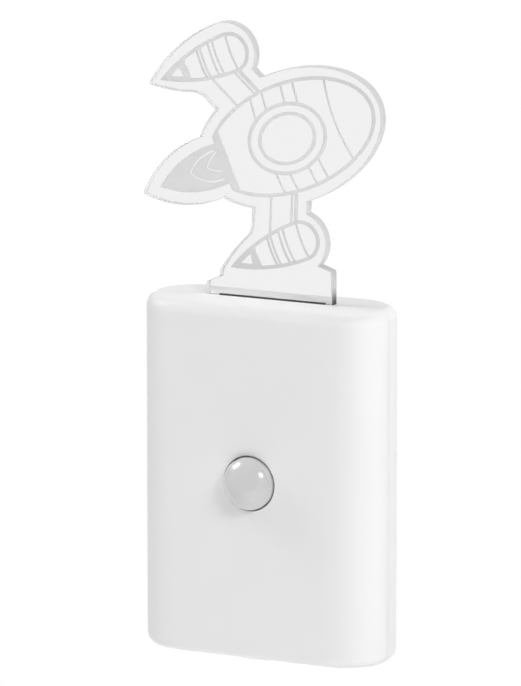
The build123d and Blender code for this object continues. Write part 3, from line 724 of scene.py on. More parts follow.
@dataclass
class Case:
    """Two moulded shells that meet in a plane just in front of the panel's slot."""

    width: float = 66.0
    depth: float = 26.0
    height: float = 90.0
    end_radius: float = 12.5
    edge_round: float = 3.0
    draft: float = 1.0              # degrees on the top and bottom faces
    wall: float = 2.0
    parting_y: float = -14.6
    seam: float = 0.07              # rounding of each shell's edge at the parting line
    end_steps: int = 28
    round_steps: int = 9
    lens_rise: float = 0.4
    lens_hole: float = 7.05
    hole_round: float = 0.15
    slot_width: float = 3.2
    slot_length: float = 34.7
    slot_chamfer: float = 0.18
    # length and width of the groove whose black lining is painted shade of the slot
    shade_groove_length: float = 29.4
    shade_groove_width: float = 0.5
    screw_x: float = 26.2
    screw_z: float = 29.5
    screw_recess: float = 2.45
    recess_depth: float = 7.5
    boss_radius: float = 3.05
    boss_gap: float = 0.3           # between a boss and the parting plane
    boss_root_y: float = -1.2       # inside the back wall, so that the two fuse
    boss_inset: float = 0.05        # of a boss where it runs into the skin
    blade_x: float = 6.35
    blade_slot: Point2 = (1.7, 6.55)
    knob_y: float = -19.7
    knob_recess: Point2 = (12.2, 4.2)
    knob_recess_depth: float = 1.2
    tool_steps: int = 64            # round a turned cutter
    slack: float = 0.01             # within which a face lies on a side of the groove

    def plan(self, inset: float, half: Half) -> list[Point2]:
        """Plan outline of a shell, inset from its skin, from its right parting edge to its left one.

        Args:
            inset: Distance inside the skin.
            half: Shell.

        Returns:
            Points of X and Y.
        """
        radius = self.end_radius - inset
        axis_x = self.width / 2 - self.end_radius
        front_y = self.end_radius - self.depth
        dip = asin((self.parting_y - front_y) / radius)
        if half is Half.FRONT:
            right = arc((axis_x, front_y), radius, dip, -pi / 2, self.end_steps)
        else:
            right = arc((axis_x, front_y), radius, dip, 0.0, steps=2)
            right += arc((axis_x, -self.end_radius), radius, 0.0, pi / 2, self.end_steps)
        return right + [(-x, y) for x, y in reversed(right)]

    def top_at(self, y: float, inset: float) -> float:
        """Height of the top face, inset from its skin, at a place along Y."""
        return self.height / 2 - inset - abs(y - self.parting_y) * tan(radians(self.draft))

    def block(self, inset: float, half: Half, rounding: float) -> bmesh.types.BMesh:
        """Closed body of one shell's outer or inner form.

        Args:
            inset: Distance inside the skin.
            half: Shell.
            rounding: Radius of its top and bottom edges.

        Returns:
            Working mesh in metres.
        """
        turns = [pi / 2 * k / self.round_steps for k in range(self.round_steps + 1)]
        rows = [(rounding * (1 - cos(t)), rounding * (1 - sin(t)), 1) for t in turns]
        rows = [(d, drop, -1) for d, drop, _ in reversed(rows)] + rows
        rings = [[(x, y, side * (self.top_at(y, inset) - drop))
                  for x, y in self.plan(inset + d, half)] for d, drop, side in rows]
        bm = bmesh.new()
        loft(bm, rings)
        return bm

    def outer(self, half: Half) -> bpy.types.Object:
        """Outer form of a shell with its softened parting edge.

        Args:
            half: Shell.

        Returns:
            The solid form.
        """
        bm = self.block(0.0, half, self.edge_round)
        plane = self.parting_y * MM

        def parts_there(face: bmesh.types.BMFace) -> bool:
            """Whether a face lies in the parting plane."""
            return all(abs(vert.co.y - plane) < IN_PLANE for vert in face.verts)

        bmesh.ops.dissolve_faces(bm, faces=[face for face in bm.faces if parts_there(face)])
        flat = next(face for face in bm.faces if parts_there(face))
        bmesh.ops.bevel(bm, geom=list(flat.edges), offset=self.seam * MM, segments=2, profile=0.5,
                        affect="EDGES", clamp_overlap=True)
        return piece_of(bm, f"{half.name.lower()}_cover")

    def cavity(self) -> bpy.types.Object:
        """Hollow of both shells in one body.

        Returns:
            The body to be removed.
        """
        bm = bmesh.new()
        front = self.plan(self.wall, Half.FRONT)
        rear = self.plan(self.wall, Half.REAR)
        ring = front + list(reversed(rear))[1:-1]
        loft(bm, [[(x, y, side * self.top_at(y, self.wall)) for x, y in ring] for side in (-1, 1)])
        return piece_of(bm, "cavity")

    def turned_tool(self, profile: Sequence[Point2], x: float, z: float) -> bpy.types.Object:
        """Round cutter about an axis along Y.

        Args:
            profile: Pairs of radius and Y, from pole to pole.
            x: X of the axis.
            z: Z of the axis.

        Returns:
            The cutter.
        """
        bm = bmesh.new()
        lathe(bm, profile, (x, z), self.tool_steps)
        return piece_of(bm, "cutter")

    def box_tool(self, low: Sequence[float], high: Sequence[float], flare: float,
                 mouth: Vector) -> bpy.types.Object:
        """Block cutter that widens at its mouth, where it leaves a chamfer.

        Args:
            low: Lowest corner, with the mouth at the part's surface.
            high: Highest corner.
            flare: Width of the chamfer that it leaves.
            mouth: Unit vector out of the opening.

        Returns:
            The cutter.
        """
        axis = max(range(3), key=lambda i: abs(mouth[i]))
        outward = 1 if mouth[axis] > 0 else -1
        surface = high[axis] if outward > 0 else low[axis]
        root = low[axis] if outward > 0 else high[axis]
        across = [i for i in range(3) if i != axis]
        rings = []
        for level, grow in ((root, 0.0), (surface - outward * flare, 0.0), (surface, flare),
                            (surface + outward * OVERSHOOT, flare + OVERSHOOT)):
            ring = []
            for su, sv in ((0, 0), (1, 0), (1, 1), (0, 1)):
                point = [0.0, 0.0, 0.0]
                point[axis] = level
                for i, s in zip(across, (su, sv)):
                    point[i] = (low[i] - grow, high[i] + grow)[s]
                ring.append(point)
            rings.append(ring)
        bm = bmesh.new()
        loft(bm, rings)
        return piece_of(bm, "cutter")

    def screw_axes(self) -> list[Point2]:
        """X and Z of the four case screws."""
        return [(sx * self.screw_x, sz * self.screw_z) for sx in (-1, 1) for sz in (-1, 1)]

    def front_cover(self) -> bpy.types.Object:
        """Front shell with the sensor's hole and the recess of the mode knob.

        Returns:
            The dressed piece.
        """
        cover = self.outer(Half.FRONT)
        shape_with(cover, self.cavity(), Cut.REMOVE)
        face = -self.depth
        mouth = arc((self.lens_hole + self.hole_round, face + self.hole_round), self.hole_round,
                    pi, 1.5 * pi, steps=6)
        hole = [(0.0, face + 2 * self.wall), (self.lens_hole, face + 2 * self.wall), *mouth,
                (mouth[-1][0], face - OVERSHOOT), (0.0, face - OVERSHOOT)]
        shape_with(cover, self.turned_tool(hole, 0.0, self.lens_rise), Cut.REMOVE)
        half_x, half_y = self.knob_recess[0] / 2, self.knob_recess[1] / 2
        floor = -self.top_at(self.knob_y, 0.0)
        recess = self.box_tool((-half_x, self.knob_y - half_y, floor),
                               (half_x, self.knob_y + half_y, floor + self.knob_recess_depth),
                               self.slot_chamfer, Vector((0, 0, -1)))
        shape_with(cover, recess, Cut.REMOVE)
        return finish_piece(cover, [WHITE_ABS], "root", ["front_shell"])

    def boss(self, x: float, z: float) -> bpy.types.Object:
        """Column round a case screw, kept inside the rear shell's skin.

        Args:
            x: X of the screw.
            z: Z of the screw.

        Returns:
            The column.
        """
        near_y = self.parting_y + self.boss_gap
        column = self.turned_tool([(0.0, near_y), (self.boss_radius, near_y),
                                   (self.boss_radius, self.boss_root_y), (0.0, self.boss_root_y)],
                                  x, z)
        skin = piece_of(self.block(self.boss_inset, Half.REAR, self.edge_round), "skin")
        shape_with(column, skin, Cut.KEEP)
        return column

    def rear_cover(self) -> bpy.types.Object:
        """Rear shell with the panel's slot, the blades' slots and the screws' recesses.

        Returns:
            The dressed piece.
        """
        cover = self.outer(Half.REAR)
        shape_with(cover, self.cavity(), Cut.REMOVE)
        for x, z in self.screw_axes():
            shape_with(cover, self.boss(x, z), Cut.ADD)
        for x, z in self.screw_axes():
            flare = self.slot_chamfer
            recess = [(0.0, -self.recess_depth), (self.screw_recess, -self.recess_depth),
                      (self.screw_recess, -flare), (self.screw_recess + flare, 0.0),
                      (self.screw_recess + flare + OVERSHOOT, OVERSHOOT), (0.0, OVERSHOOT)]
            shape_with(cover, self.turned_tool(recess, x, z), Cut.REMOVE)
        for side in (-1, 1):
            half_x, half_z = self.blade_slot[0] / 2, self.blade_slot[1] / 2
            middle = side * self.blade_x
            slot = self.box_tool((middle - half_x, -2 * self.wall, -half_z),
                                 (middle + half_x, 0.0, half_z), self.slot_chamfer,
                                 Vector((0, 1, 0)))
            shape_with(cover, slot, Cut.REMOVE)
        half_x = self.slot_length / 2
        top = self.top_at(self.parting_y + self.slot_width / 2, 0.0)
        slot = self.box_tool((-half_x, self.parting_y - OVERSHOOT, top - 2 * self.wall),
                             (half_x, self.parting_y + self.slot_width, top), self.slot_chamfer,
                             Vector((0, 0, 1)))
        shape_with(cover, slot, Cut.REMOVE)
        self.shade_groove(cover)
        return finish_piece(cover, [WHITE_ABS, SHADE_LINING], "root", ["rear_shell"])

    def shade_groove(self, cover: bpy.types.Object) -> None:
        """Groove in the slot's rear wall, lined in black as painted shade of the slot.

        Args:
            cover: Rear shell, whose second material slot is the painted shade's black lining.
        """
        half_x = self.shade_groove_length / 2
        near = self.parting_y + self.slot_width
        far = near + self.shade_groove_width
        top = self.top_at(near, 0.0)
        groove = self.box_tool((-half_x, near - OVERSHOOT, top - 2 * self.wall),
                               (half_x, far, top), 0.0, Vector((0, 0, 1)))
        shape_with(cover, groove, Cut.REMOVE)
        # the groove's upright faces get the black lining, which is painted shade
        for face in cover.data.polygons:
            x, y, z = face.center / MM
            lined = abs(x) <= half_x + self.slack and near + self.slack < y <= far + self.slack
            upright = abs(face.normal.z) < 0.5
            face.material_index = int(lined and upright and z < top - self.slack)

    def build(self) -> None:
        """Make and dress both shells."""
        self.front_cover()
        self.rear_cover()


# ------------------------------------------------------------------ rocket panel
IN_LINE = 1e-9                  # twice the area of a triangle whose corners are in line
HULL_STEPS, RING_STEPS, SIDE_STEPS, LEAF_STEPS, TIP_STEPS = 200, 160, 28, 48, 6
SHARPEST_MITRE = 0.4            # cosine up to which an inset corner follows its two sides
CELLS_INSIDE = 1                # choice of the triangulation that leaves out what no outline holds
CELL_SLACK = 1e-5


def ellipse(a: float, b: float, centre: Point2 = (0.0, 0.0), steps: int = RING_STEPS) -> list[Point2]:
    """Closed ellipse, counter-clockwise."""
    return [(centre[0] + a * cos(2 * pi * k / steps), centre[1] + b * sin(2 * pi * k / steps))
            for k in range(steps)]


def through(start: Point2, middle: Point2, end: Point2, steps: int) -> list[Point2]:
    """Arc through three points, or a straight line where they are in line.

    Args:
        start: First end.
        middle: Any point between.
        end: Last end.
        steps: Pieces of the arc.

    Returns:
        Points from start to end.
    """
    (ax, ay), (bx, by), (cx, cy) = start, middle, end
    d = 2 * (ax * (by - cy) + bx * (cy - ay) + cx * (ay - by))
    if abs(d) < IN_LINE:
        return [start, middle, end]
    sa, sb, sc = ax * ax + ay * ay, bx * bx + by * by, cx * cx + cy * cy
    centre = ((sa * (by - cy) + sb * (cy - ay) + sc * (ay - by)) / d,
              (sa * (cx - bx) + sb * (ax - cx) + sc * (bx - ax)) / d)
    first = atan2(ay - centre[1], ax - centre[0])
    mid = atan2(by - centre[1], bx - centre[0])
    last = atan2(cy - centre[1], cx - centre[0])
    while abs(mid - first) > pi:
        mid += 2 * pi if mid < first else -2 * pi
    while abs(last - mid) > pi:
        last += 2 * pi if last < mid else -2 * pi
    return arc(centre, hypot(ax - centre[0], ay - centre[1]), first, last, steps)


def counter_clockwise(points: Sequence[Point2]) -> list[Point2]:
    """Put a closed outline in counter-clockwise order.

    Args:
        points: Its points in either order.

    Returns:
        The same points.
    """
    twice = sum(x0 * y1 - x1 * y0
                for (x0, y0), (x1, y1) in zip(points, list(points[1:]) + [points[0]]))
    return list(points) if twice > 0 else list(reversed(points))


def rounded(points: Sequence[Point2], radii: Sequence[float], steps: int = 8) -> list[Point2]:
    """Round the corners of a closed outline.

    Args:
        points: Corners, counter-clockwise.
        radii: Radius at each corner, 0 for a sharp one.
        steps: Pieces of each arc.

    Returns:
        The rounded outline.
    """
    result: list[Point2] = []
    for k, ((x, y), radius) in enumerate(zip(points, radii)):
        if not radius:
            result.append((x, y))
            continue
        (px, py), (nx, ny) = points[k - 1], points[(k + 1) % len(points)]
        before = atan2(y - py, x - px)
        turn = (atan2(ny - y, nx - x) - before + pi) % (2 * pi) - pi
        back = radius * tan(turn / 2)
        centre = (x - back * cos(before) - radius * sin(before),
                  y - back * sin(before) + radius * cos(before))
        result += arc(centre, radius, before - pi / 2, before - pi / 2 + turn, steps)
    return result


@dataclass(frozen=True)
class Drop:
    """Round nose whose two sides run in long arcs to a pointed tail on the axis."""

    nose_x: float
    radius: float
    tail_x: float

    @property
    def bend(self) -> float:
        """Radius of the sides."""
        reach = self.nose_x - self.tail_x
        return (reach ** 2 + self.radius ** 2) / (2 * self.radius)

    def outline(self, margin: float = 0.0, tip: float = 0.0) -> list[Point2]:
        """Outline at a distance outside the form.

        Args:
            margin: Distance, negative inside.
            tip: Radius at the tail, 0 for a sharp one.

        Returns:
            Closed outline, counter-clockwise.
        """
        off = self.bend - self.radius
        bend = self.bend + margin
        span = asin(sqrt((bend - tip) ** 2 - off ** 2) / (bend - tip))
        lower = arc((self.nose_x, off), bend, -pi / 2 - span, -pi / 2, SIDE_STEPS)
        nose = arc((self.nose_x, 0.0), self.radius + margin, -pi / 2, pi / 2, SIDE_STEPS)
        upper = arc((self.nose_x, -off), bend, pi / 2, pi / 2 + span, SIDE_STEPS)
        ring = lower + nose[1:-1] + upper
        if not tip:
            return ring[:-1]
        centre = (self.nose_x - sqrt((bend - tip) ** 2 - off ** 2), 0.0)
        return ring + arc(centre, tip, pi / 2 + span, 1.5 * pi - span, TIP_STEPS)[1:-1]


def leaf(middle: float, half_length: float, half_breadth: float, margin: float = 0.0,
         tip: float = 0.0) -> list[Point2]:
    """Leaf of two arcs along the axis, at a distance outside its form.

    Args:
        middle: Its middle along the axis.
        half_length: From the middle to a tip.
        half_breadth: From the axis to a side.
        margin: Distance outside the form.
        tip: Radius at the rear tip.

    Returns:
        Closed outline, counter-clockwise.
    """
    base = (half_length ** 2 + half_breadth ** 2) / (2 * half_breadth)
    off, bend = base - half_breadth, base + margin
    span = asin(sqrt(bend ** 2 - off ** 2) / bend)
    rear = asin(sqrt((bend - tip) ** 2 - off ** 2) / (bend - tip))
    lower = arc((middle, off), bend, -pi / 2 - rear, -pi / 2 + span, LEAF_STEPS)
    upper = arc((middle, -off), bend, pi / 2 - span, pi / 2 + rear, LEAF_STEPS)
    ring = lower + upper[1:]
    if not tip:
        return ring[:-1]
    centre = (middle - sqrt((bend - tip) ** 2 - off ** 2), 0.0)
    return ring + arc(centre, tip, pi / 2 + rear, 1.5 * pi - rear, TIP_STEPS)[1:-1]


def stroke(line: Sequence[Point2], breadth: float) -> list[Point2]:
    """Closed outline of a line drawn with a given breadth.

    Args:
        line: Points of its middle.
        breadth: From side to side.

    Returns:
        Its left side and back along its right one.
    """
    left: list[Point2] = []
    right: list[Point2] = []
    for k, (x, y) in enumerate(line):
        (px, py), (nx, ny) = line[max(k - 1, 0)], line[min(k + 1, len(line) - 1)]
        length = hypot(nx - px, ny - py)
        ox, oy = -(ny - py) / length * breadth / 2, (nx - px) / length * breadth / 2
        left.append((x + ox, y + oy))
        right.append((x - ox, y - oy))
    return left + right[::-1]


class SheetFace(IntEnum):
    """Kinds of face of the sheet, in the order of its material slots."""

    POLISHED = 0
    ENGRAVED = 1
    CUT = 2
    ARRIS = 3


class Role(Enum):
    """What a closed outline does to the sheet."""

    SHEET = "acrylic is left here"
    ENGRAVED = "the back face is engraved here"
    CLEAR = "the engraving leaves this bare"
    MASK = "only bounds other outlines"


@dataclass
class Outline:
    """A closed outline of the drawing, in X and Z from the middle of the case's top.

    A spot takes on its role where it also lies within all of one list of outlines and within none
    of another.
    """

    name: str
    role: Role
    points: list[Point2]
    within: tuple[str, ...] = ()
    without: tuple[str, ...] = ()


@dataclass
class RocketPanel:
    """Clear acrylic sheet cut and engraved as a rocket, standing in the slot by its foot."""

    front_y: float = -14.5
    back_y: float = -11.5
    top_z: float = 45.0
    arris: float = 0.2
    engraving_depth: float = 0.3
    tilt: float = 23.0
    hull_at: Point2 = (5.3, 41.1)
    hull: Point2 = (23.5, 13.5)         # half axes
    rim: float = 3.0
    tip_round: float = 0.5
    hull_ring: Point2 = (23.7, 13.3)    # middle of the engraved line
    bold: float = 0.9                   # breadths of the engraved lines
    fine: float = 0.5
    overlap: float = 0.6                # share of a bold line by which a fill runs on under it
    tail_u: float = -20.7
    tail_band: tuple[Point2, ...] = ((-18.55, 7.4), (-19.6, 8.2), (-20.7, 6.4))
    porthole_u: float = -1.2
    porthole: Point2 = (10.7, 8.5)
    glass: Point2 = (7.7, 6.1)
    belts: tuple[Point2, ...] = (       # place on the axis at the hull's sides, and sag
        (-6.8, 1.1), (-3.25, 1.1), (2.3, 1.1), (5.75, 1.1), (14.9, 2.1))
    booster: Drop = Drop(7.9, 8.0, -15.3)
    booster_at: Point2 = (-16.0, 25.0)
    booster_ring: Drop = Drop(7.6, 4.75, -12.35)
    booster_ring_at: Point2 = (-15.35, 24.9)
    booster_tail_u: float = -20.4
    booster_lines_u: tuple[float, ...] = (-16.0, -14.95, -12.5, -11.15, -7.1)
    booster_gap: tuple[Point2, ...] = ((-25.6, -0.1), (-22.1, -1.4), (-22.6, 1.3))
    strut_root: float = 2.0
    strut_sweep: float = 25.0
    strut_neck: float = 15.0
    neck_round: float = 5.0
    strut_lines: tuple[Point2, ...] = ((-3.1, 0.55), (2.55, 0.45), (3.75, 0.9))    # place, breadth
    flame: tuple[float, float, float] = (-24.2, 15.0, 5.15)     # middle, half length, half breadth
    flame_ink: tuple[float, float, float] = (-23.3, 16.0, 5.4)
    tongues: tuple[tuple[Point2, ...], ...] = (
        ((-21.5, 3.6), (-26.5, 2.9), (-30.1, 0.5), (-26.6, -2.8), (-21.5, -3.8)),
        ((-21.0, 3.2), (-23.4, 2.0), (-25.1, 0.2), (-23.4, -1.1), (-21.2, -1.8)))
    tongue_line: float = 0.4
    tab_width: float = 34.5
    tab_insert: float = 10.0
    tab_left_rise: tuple[float, float, float] = (3.2, 4.9, 6.3)     # outer, inner, its step
    tab_right_rise: Point2 = (8.4, 9.6)                             # outer, inner
    tab_shoulder: float = 3.7
    tab_corner: float = 0.8
    outlines: list[Outline] = field(default_factory=list)

    def add(self, name: str, role: Role, points: Sequence[Point2], within: tuple[str, ...] = (),
            without: tuple[str, ...] = ()) -> None:
        """Add an outline drawn about the hull's centre, with +u towards the nose.

        Args:
            name: Name that other outlines may refer to.
            role: What it does.
            points: Closed outline.
            within: Outlines that have to hold a spot too.
            without: Outlines that must not hold it.
        """
        c, s = cos(radians(self.tilt)), sin(radians(self.tilt))
        x0, z0 = self.hull_at
        placed = [(x0 + c * u - s * v, z0 + s * u + c * v) for u, v in points]
        self.outlines.append(Outline(name, role, counter_clockwise(placed), within, without))

    def beside(self, points: Sequence[Point2], at: Point2, side: int) -> list[Point2]:
        """Move an outline to a place and mirror it on the lower side."""
        return [(x + at[0], side * (y + at[1])) for x, y in points]

    def strut_bar(self, offset: float, breadth: float, side: int) -> list[Point2]:
        """Straight bar from the long axis to a booster, swept back.

        Args:
            offset: Distance of its middle from the strut's own line, towards the nose.
            breadth: Breadth of the bar.
            side: Which booster.

        Returns:
            Its closed outline.
        """
        reach = self.booster_at[1] / cos(radians(self.strut_sweep))
        c, s = cos(radians(self.strut_sweep)), sin(radians(self.strut_sweep))
        corners = [(offset - breadth / 2, 0), (offset + breadth / 2, 0),
                   (offset + breadth / 2, reach), (offset - breadth / 2, reach)]
        return [(c * x - s * y - self.strut_root, side * (s * x + c * y)) for x, y in corners]

    def neck_fillet(self, side: int) -> list[Point2]:
        """Acrylic that rounds the corner between a strut's rear edge and its booster's tail.

        Args:
            side: Which booster.

        Returns:
            Its closed outline.
        """
        c, s = cos(radians(self.strut_sweep)), sin(radians(self.strut_sweep))
        radius = self.neck_round
        bend = self.booster.bend
        big = (self.booster.nose_x + self.booster_at[0],
               self.booster_at[1] + bend - self.booster.radius)
        # The rounding's centre lies on a line beside the strut, bend + radius away from big.
        start = (-c * (self.strut_neck / 2 + radius) - self.strut_root,
                 -s * (self.strut_neck / 2 + radius))
        dx, dy = start[0] - big[0], start[1] - big[1]
        half = -s * dx + c * dy
        along = -half - sqrt(half ** 2 - (dx * dx + dy * dy - (bend + radius) ** 2))
        centre = (start[0] - s * along, start[1] + c * along)
        first = atan2(s, c)
        last = atan2(big[1] - centre[1], big[0] - centre[0])
        curve = arc(centre, radius, first, last, steps=12)
        inside = (self.booster_at[0], self.booster_at[1] - self.booster.radius / 2)
        return [(u, side * v) for u, v in curve + [inside]]

    def foot(self) -> list[Point2]:
        """Foot and tab of the panel, with its two outer shoulders rounded.

        Returns:
            Its closed outline, in X and Z from the middle of the case's top.
        """
        half, inner = self.tab_width / 2, self.tab_width / 2 - self.tab_shoulder
        low, high, step = self.tab_left_rise
        corners = [(-half, -self.tab_insert), (half, -self.tab_insert),
                   (half, self.tab_right_rise[0]), (inner, self.tab_right_rise[1]),
                   (-inner, step), (-inner, high), (-half, low)]
        return rounded(corners, (0, 0, self.tab_corner, 0, 0, 0, self.tab_corner))

    def draw(self) -> None:
        """Draw the sheet's outline and the engraving."""
        a, b = self.hull
        self.add("hull_sheet", Role.SHEET, ellipse(a + self.rim, b + self.rim, steps=HULL_STEPS))
        self.draw_ring("hull", self.hull_ring, 0.0, within=("ahead_of_tail",))
        around = ellipse(a + self.rim / 2, b + self.rim / 2, steps=HULL_STEPS)
        from_tail = around[HULL_STEPS // 2:] + around[:HULL_STEPS // 2]
        self.add("ahead_of_tail", Role.MASK, [p for p in from_tail if p[0] > self.tail_u])
        band = list(self.tail_band) + [(u, -v) for u, v in reversed(self.tail_band)]
        self.add("tail_band", Role.ENGRAVED, band, within=("hull_out",))
        self.draw_ring("frame", self.porthole, self.porthole_u)
        self.draw_ring("glass", self.glass, self.porthole_u)
        for k, (u, sag) in enumerate(self.belts):
            line = [p for p in through((u, b), (u - sag, 0.0), (u, -b), steps=30)
                    if hypot(p[0] / a, p[1] / b) < 1 + self.bold / b]
            self.add(f"belt_{k}", Role.ENGRAVED, stroke(line, self.fine), within=("hull_in",),
                     without=("frame_out",))
        for side, name in ((1, "upper"), (-1, "lower")):
            self.draw_booster(side, name)
        self.draw_flame()
        self.outlines.append(Outline("foot", Role.SHEET, counter_clockwise(self.foot())))

    def draw_ring(self, name: str, half_axes: Point2, u: float,
                  within: tuple[str, ...] = ()) -> None:
        """Elliptical line about a point of the long axis.

        Args:
            name: Word for its outlines' names.
            half_axes: Half axes of the line's middle.
            u: Place of its centre.
            within: Outlines that bound it.
        """
        a, b = half_axes
        half = self.bold / 2
        outer = ellipse(a + half, b + half, (u, 0.0))
        self.add(f"{name}_out", Role.MASK, outer)
        self.add(f"{name}_in", Role.MASK, ellipse(a - half, b - half, (u, 0.0)))
        self.add(f"{name}_line", Role.ENGRAVED, outer, within=within, without=(f"{name}_in",))

    def draw_booster(self, side: int, name: str) -> None:
        """One booster with its tail, its lines and its strut.

        Args:
            side: 1 above the long axis, -1 below it.
            name: Word for its outlines' names.
        """
        sheet = self.booster.outline(tip=self.tip_round)
        self.add(f"{name}_sheet", Role.SHEET, self.beside(sheet, self.booster_at, side))
        self.add(f"{name}_neck", Role.SHEET, self.strut_bar(0.0, self.strut_neck, side))
        self.add(f"{name}_fillet", Role.SHEET, self.neck_fillet(side))
        at = self.booster_ring_at
        outer = self.beside(self.booster_ring.outline(self.bold / 2), at, side)
        inner = self.beside(self.booster_ring.outline(-self.bold / 2), at, side)
        self.add(f"{name}_out", Role.MASK, outer)
        self.add(f"{name}_in", Role.MASK, inner)
        self.add(f"{name}_line", Role.ENGRAVED, outer, without=(f"{name}_in",))
        half = self.booster_ring.radius + self.overlap * self.bold
        v = side * at[1]
        end_u = at[0] + self.booster_ring.tail_x - 2 * self.bold
        tail = [(self.booster_tail_u, v - half), (self.booster_tail_u, v + half),
                (end_u, v + self.bold), (end_u, v - self.bold)]
        self.add(f"{name}_tail", Role.ENGRAVED, tail, within=(f"{name}_out",))
        self.add(f"{name}_gap", Role.CLEAR, [(u, v + side * w) for u, w in self.booster_gap])
        for k, u in enumerate(self.booster_lines_u):
            line = through((u, v + half), (u - self.fine, v), (u, v - half), steps=10)
            self.add(f"{name}_line_{k}", Role.ENGRAVED, stroke(line, self.fine),
                     within=(f"{name}_in",))
        for k, (offset, breadth) in enumerate(self.strut_lines):
            self.add(f"{name}_strut_{k}", Role.ENGRAVED, self.strut_bar(offset, breadth, side),
                     without=("hull_out", f"{name}_out"))

    def draw_flame(self) -> None:
        """Filled flame with two bare tongues, behind the tail band."""
        self.add("flame_sheet", Role.SHEET, leaf(*self.flame, margin=self.rim, tip=self.tip_round))
        self.add("flame", Role.ENGRAVED, leaf(*self.flame_ink), without=("ahead_of_tail",))
        for k, (a, b, tip, c, d) in enumerate(self.tongues):
            line = through(a, b, tip, steps=12) + through(tip, c, d, steps=12)[1:]
            self.add(f"tongue_{k}", Role.CLEAR, stroke(line, self.tongue_line))

    @staticmethod
    def divide(outlines: Sequence[Outline]) -> tuple[
            list[Vector], list[tuple[list[int], bool]], dict[int, int]]:
        """Divide the sheet into triangles along every outline.

        Args:
            outlines: Closed outlines.

        Returns:
            The points, each cell's corners with whether it is engraved, and for each point of the
            outlines, counted on from the first one's start, its place among the points.
        """
        points: list[Vector] = []
        faces: list[list[int]] = []
        for outline in outlines:
            first = len(points)
            points += [Vector(p) for p in outline.points]
            faces.append(list(range(first, len(points))))
        verts, _, cells, sources, _, origins = delaunay_2d_cdt(
            points, [], faces, CELLS_INSIDE, CELL_SLACK, True)
        place = {given: spot for spot, source in enumerate(sources) for given in source}
        kept = []
        for cell, origin in zip(cells, origins):
            here = {outlines[i].name for i in origin}
            roles = {outlines[i].role for i in origin}
            if Role.SHEET not in roles:
                continue
            engraved = Role.CLEAR not in roles and any(
                outlines[i].role is Role.ENGRAVED
                and set(outlines[i].within) <= here
                and not set(outlines[i].without) & here
                for i in origin)
            kept.append((list(cell), engraved))
        return verts, kept, place

    @staticmethod
    def sides_of(cells: list[tuple[list[int], bool]]) -> list[list[tuple[bool, int, int]]]:
        """Group the cells' sides by the pair of points that they join.

        Args:
            cells: Cells with whether each is engraved.

        Returns:
            For each pair, the one or two cells' kind and the side's direction in that cell.
        """
        owners: dict[tuple[int, int], list[tuple[bool, int, int]]] = {}
        for cell, engraved in cells:
            for first, second in zip(cell, cell[1:] + cell[:1]):
                owners.setdefault((min(first, second), max(first, second)), []).append(
                    (engraved, first, second))
        return list(owners.values())

    def border(self) -> list[Vector]:
        """Outline of the whole sheet, from the forms that make it up.

        Returns:
            Its points, counter-clockwise, without any that nearly meet.
        """
        spots, cells, _ = self.divide([o for o in self.outlines if o.role is Role.SHEET])
        follow = {owners[0][1]: owners[0][2] for owners in self.sides_of(cells)
                  if len(owners) == 1}
        start = min(follow, key=lambda spot: spots[spot].y)
        loop, spot = [spots[start]], follow[start]
        while spot != start:
            if (spots[spot] - loop[-1]).length > self.arris / 4:
                loop.append(spots[spot])
            spot = follow[spot]
        return loop

    @staticmethod
    def inset(loop: list[Vector], distance: float) -> list[Vector]:
        """Move a counter-clockwise outline inwards.

        Args:
            loop: Its points.
            distance: How far its sides move.

        Returns:
            As many points in the same order.
        """
        moved = []
        for k, spot in enumerate(loop):
            before = (spot - loop[k - 1]).normalized()
            after = (loop[(k + 1) % len(loop)] - spot).normalized()
            near = Vector((-before.y, before.x))
            middle = (near + Vector((-after.y, after.x))).normalized()
            moved.append(spot + middle * (distance / max(middle.dot(near), SHARPEST_MITRE)))
        return moved

    def build(self) -> None:
        """Cut the sheet, sink the engraving into its back and dress it."""
        self.draw()
        edge = self.border()
        drawn = [o for o in self.outlines if o.role is not Role.SHEET]
        face_outline = Outline("face", Role.SHEET, [tuple(p) for p in self.inset(edge, self.arris)])
        spots, cells, place = self.divide([face_outline, *drawn])
        rim = [place[k] for k in range(len(edge))]
        edge_from = len(spots)
        spots = [*spots, *edge]
        bm = bmesh.new()
        made: dict[tuple[int, float], bmesh.types.BMVert] = {}

        def corner(spot: int, y: float) -> bmesh.types.BMVert:
            """Vertex at a spot of the drawing and a Y, made once.

            Args:
                spot: Number of the spot.
                y: Its Y.

            Returns:
                The vertex.
            """
            if (spot, y) not in made:
                x, z = spots[spot]
                made[spot, y] = bm.verts.new(Vector((x, y, z + self.top_z)) * MM)
            return made[spot, y]

        def strip(near: tuple[int, int], far: tuple[int, int], near_y: float, far_y: float,
                  kind: SheetFace) -> None:
            """Face between a side of the drawing and a deeper one.

            Args:
                near: The two spots of the first side.
                far: Those of the second side.
                near_y: Y of the first side.
                far_y: Y of the second side.
                kind: Kind of the face.
            """
            face = bm.faces.new([corner(near[1], near_y), corner(near[0], near_y),
                                 corner(far[0], far_y), corner(far[1], far_y)])
            face.material_index = kind

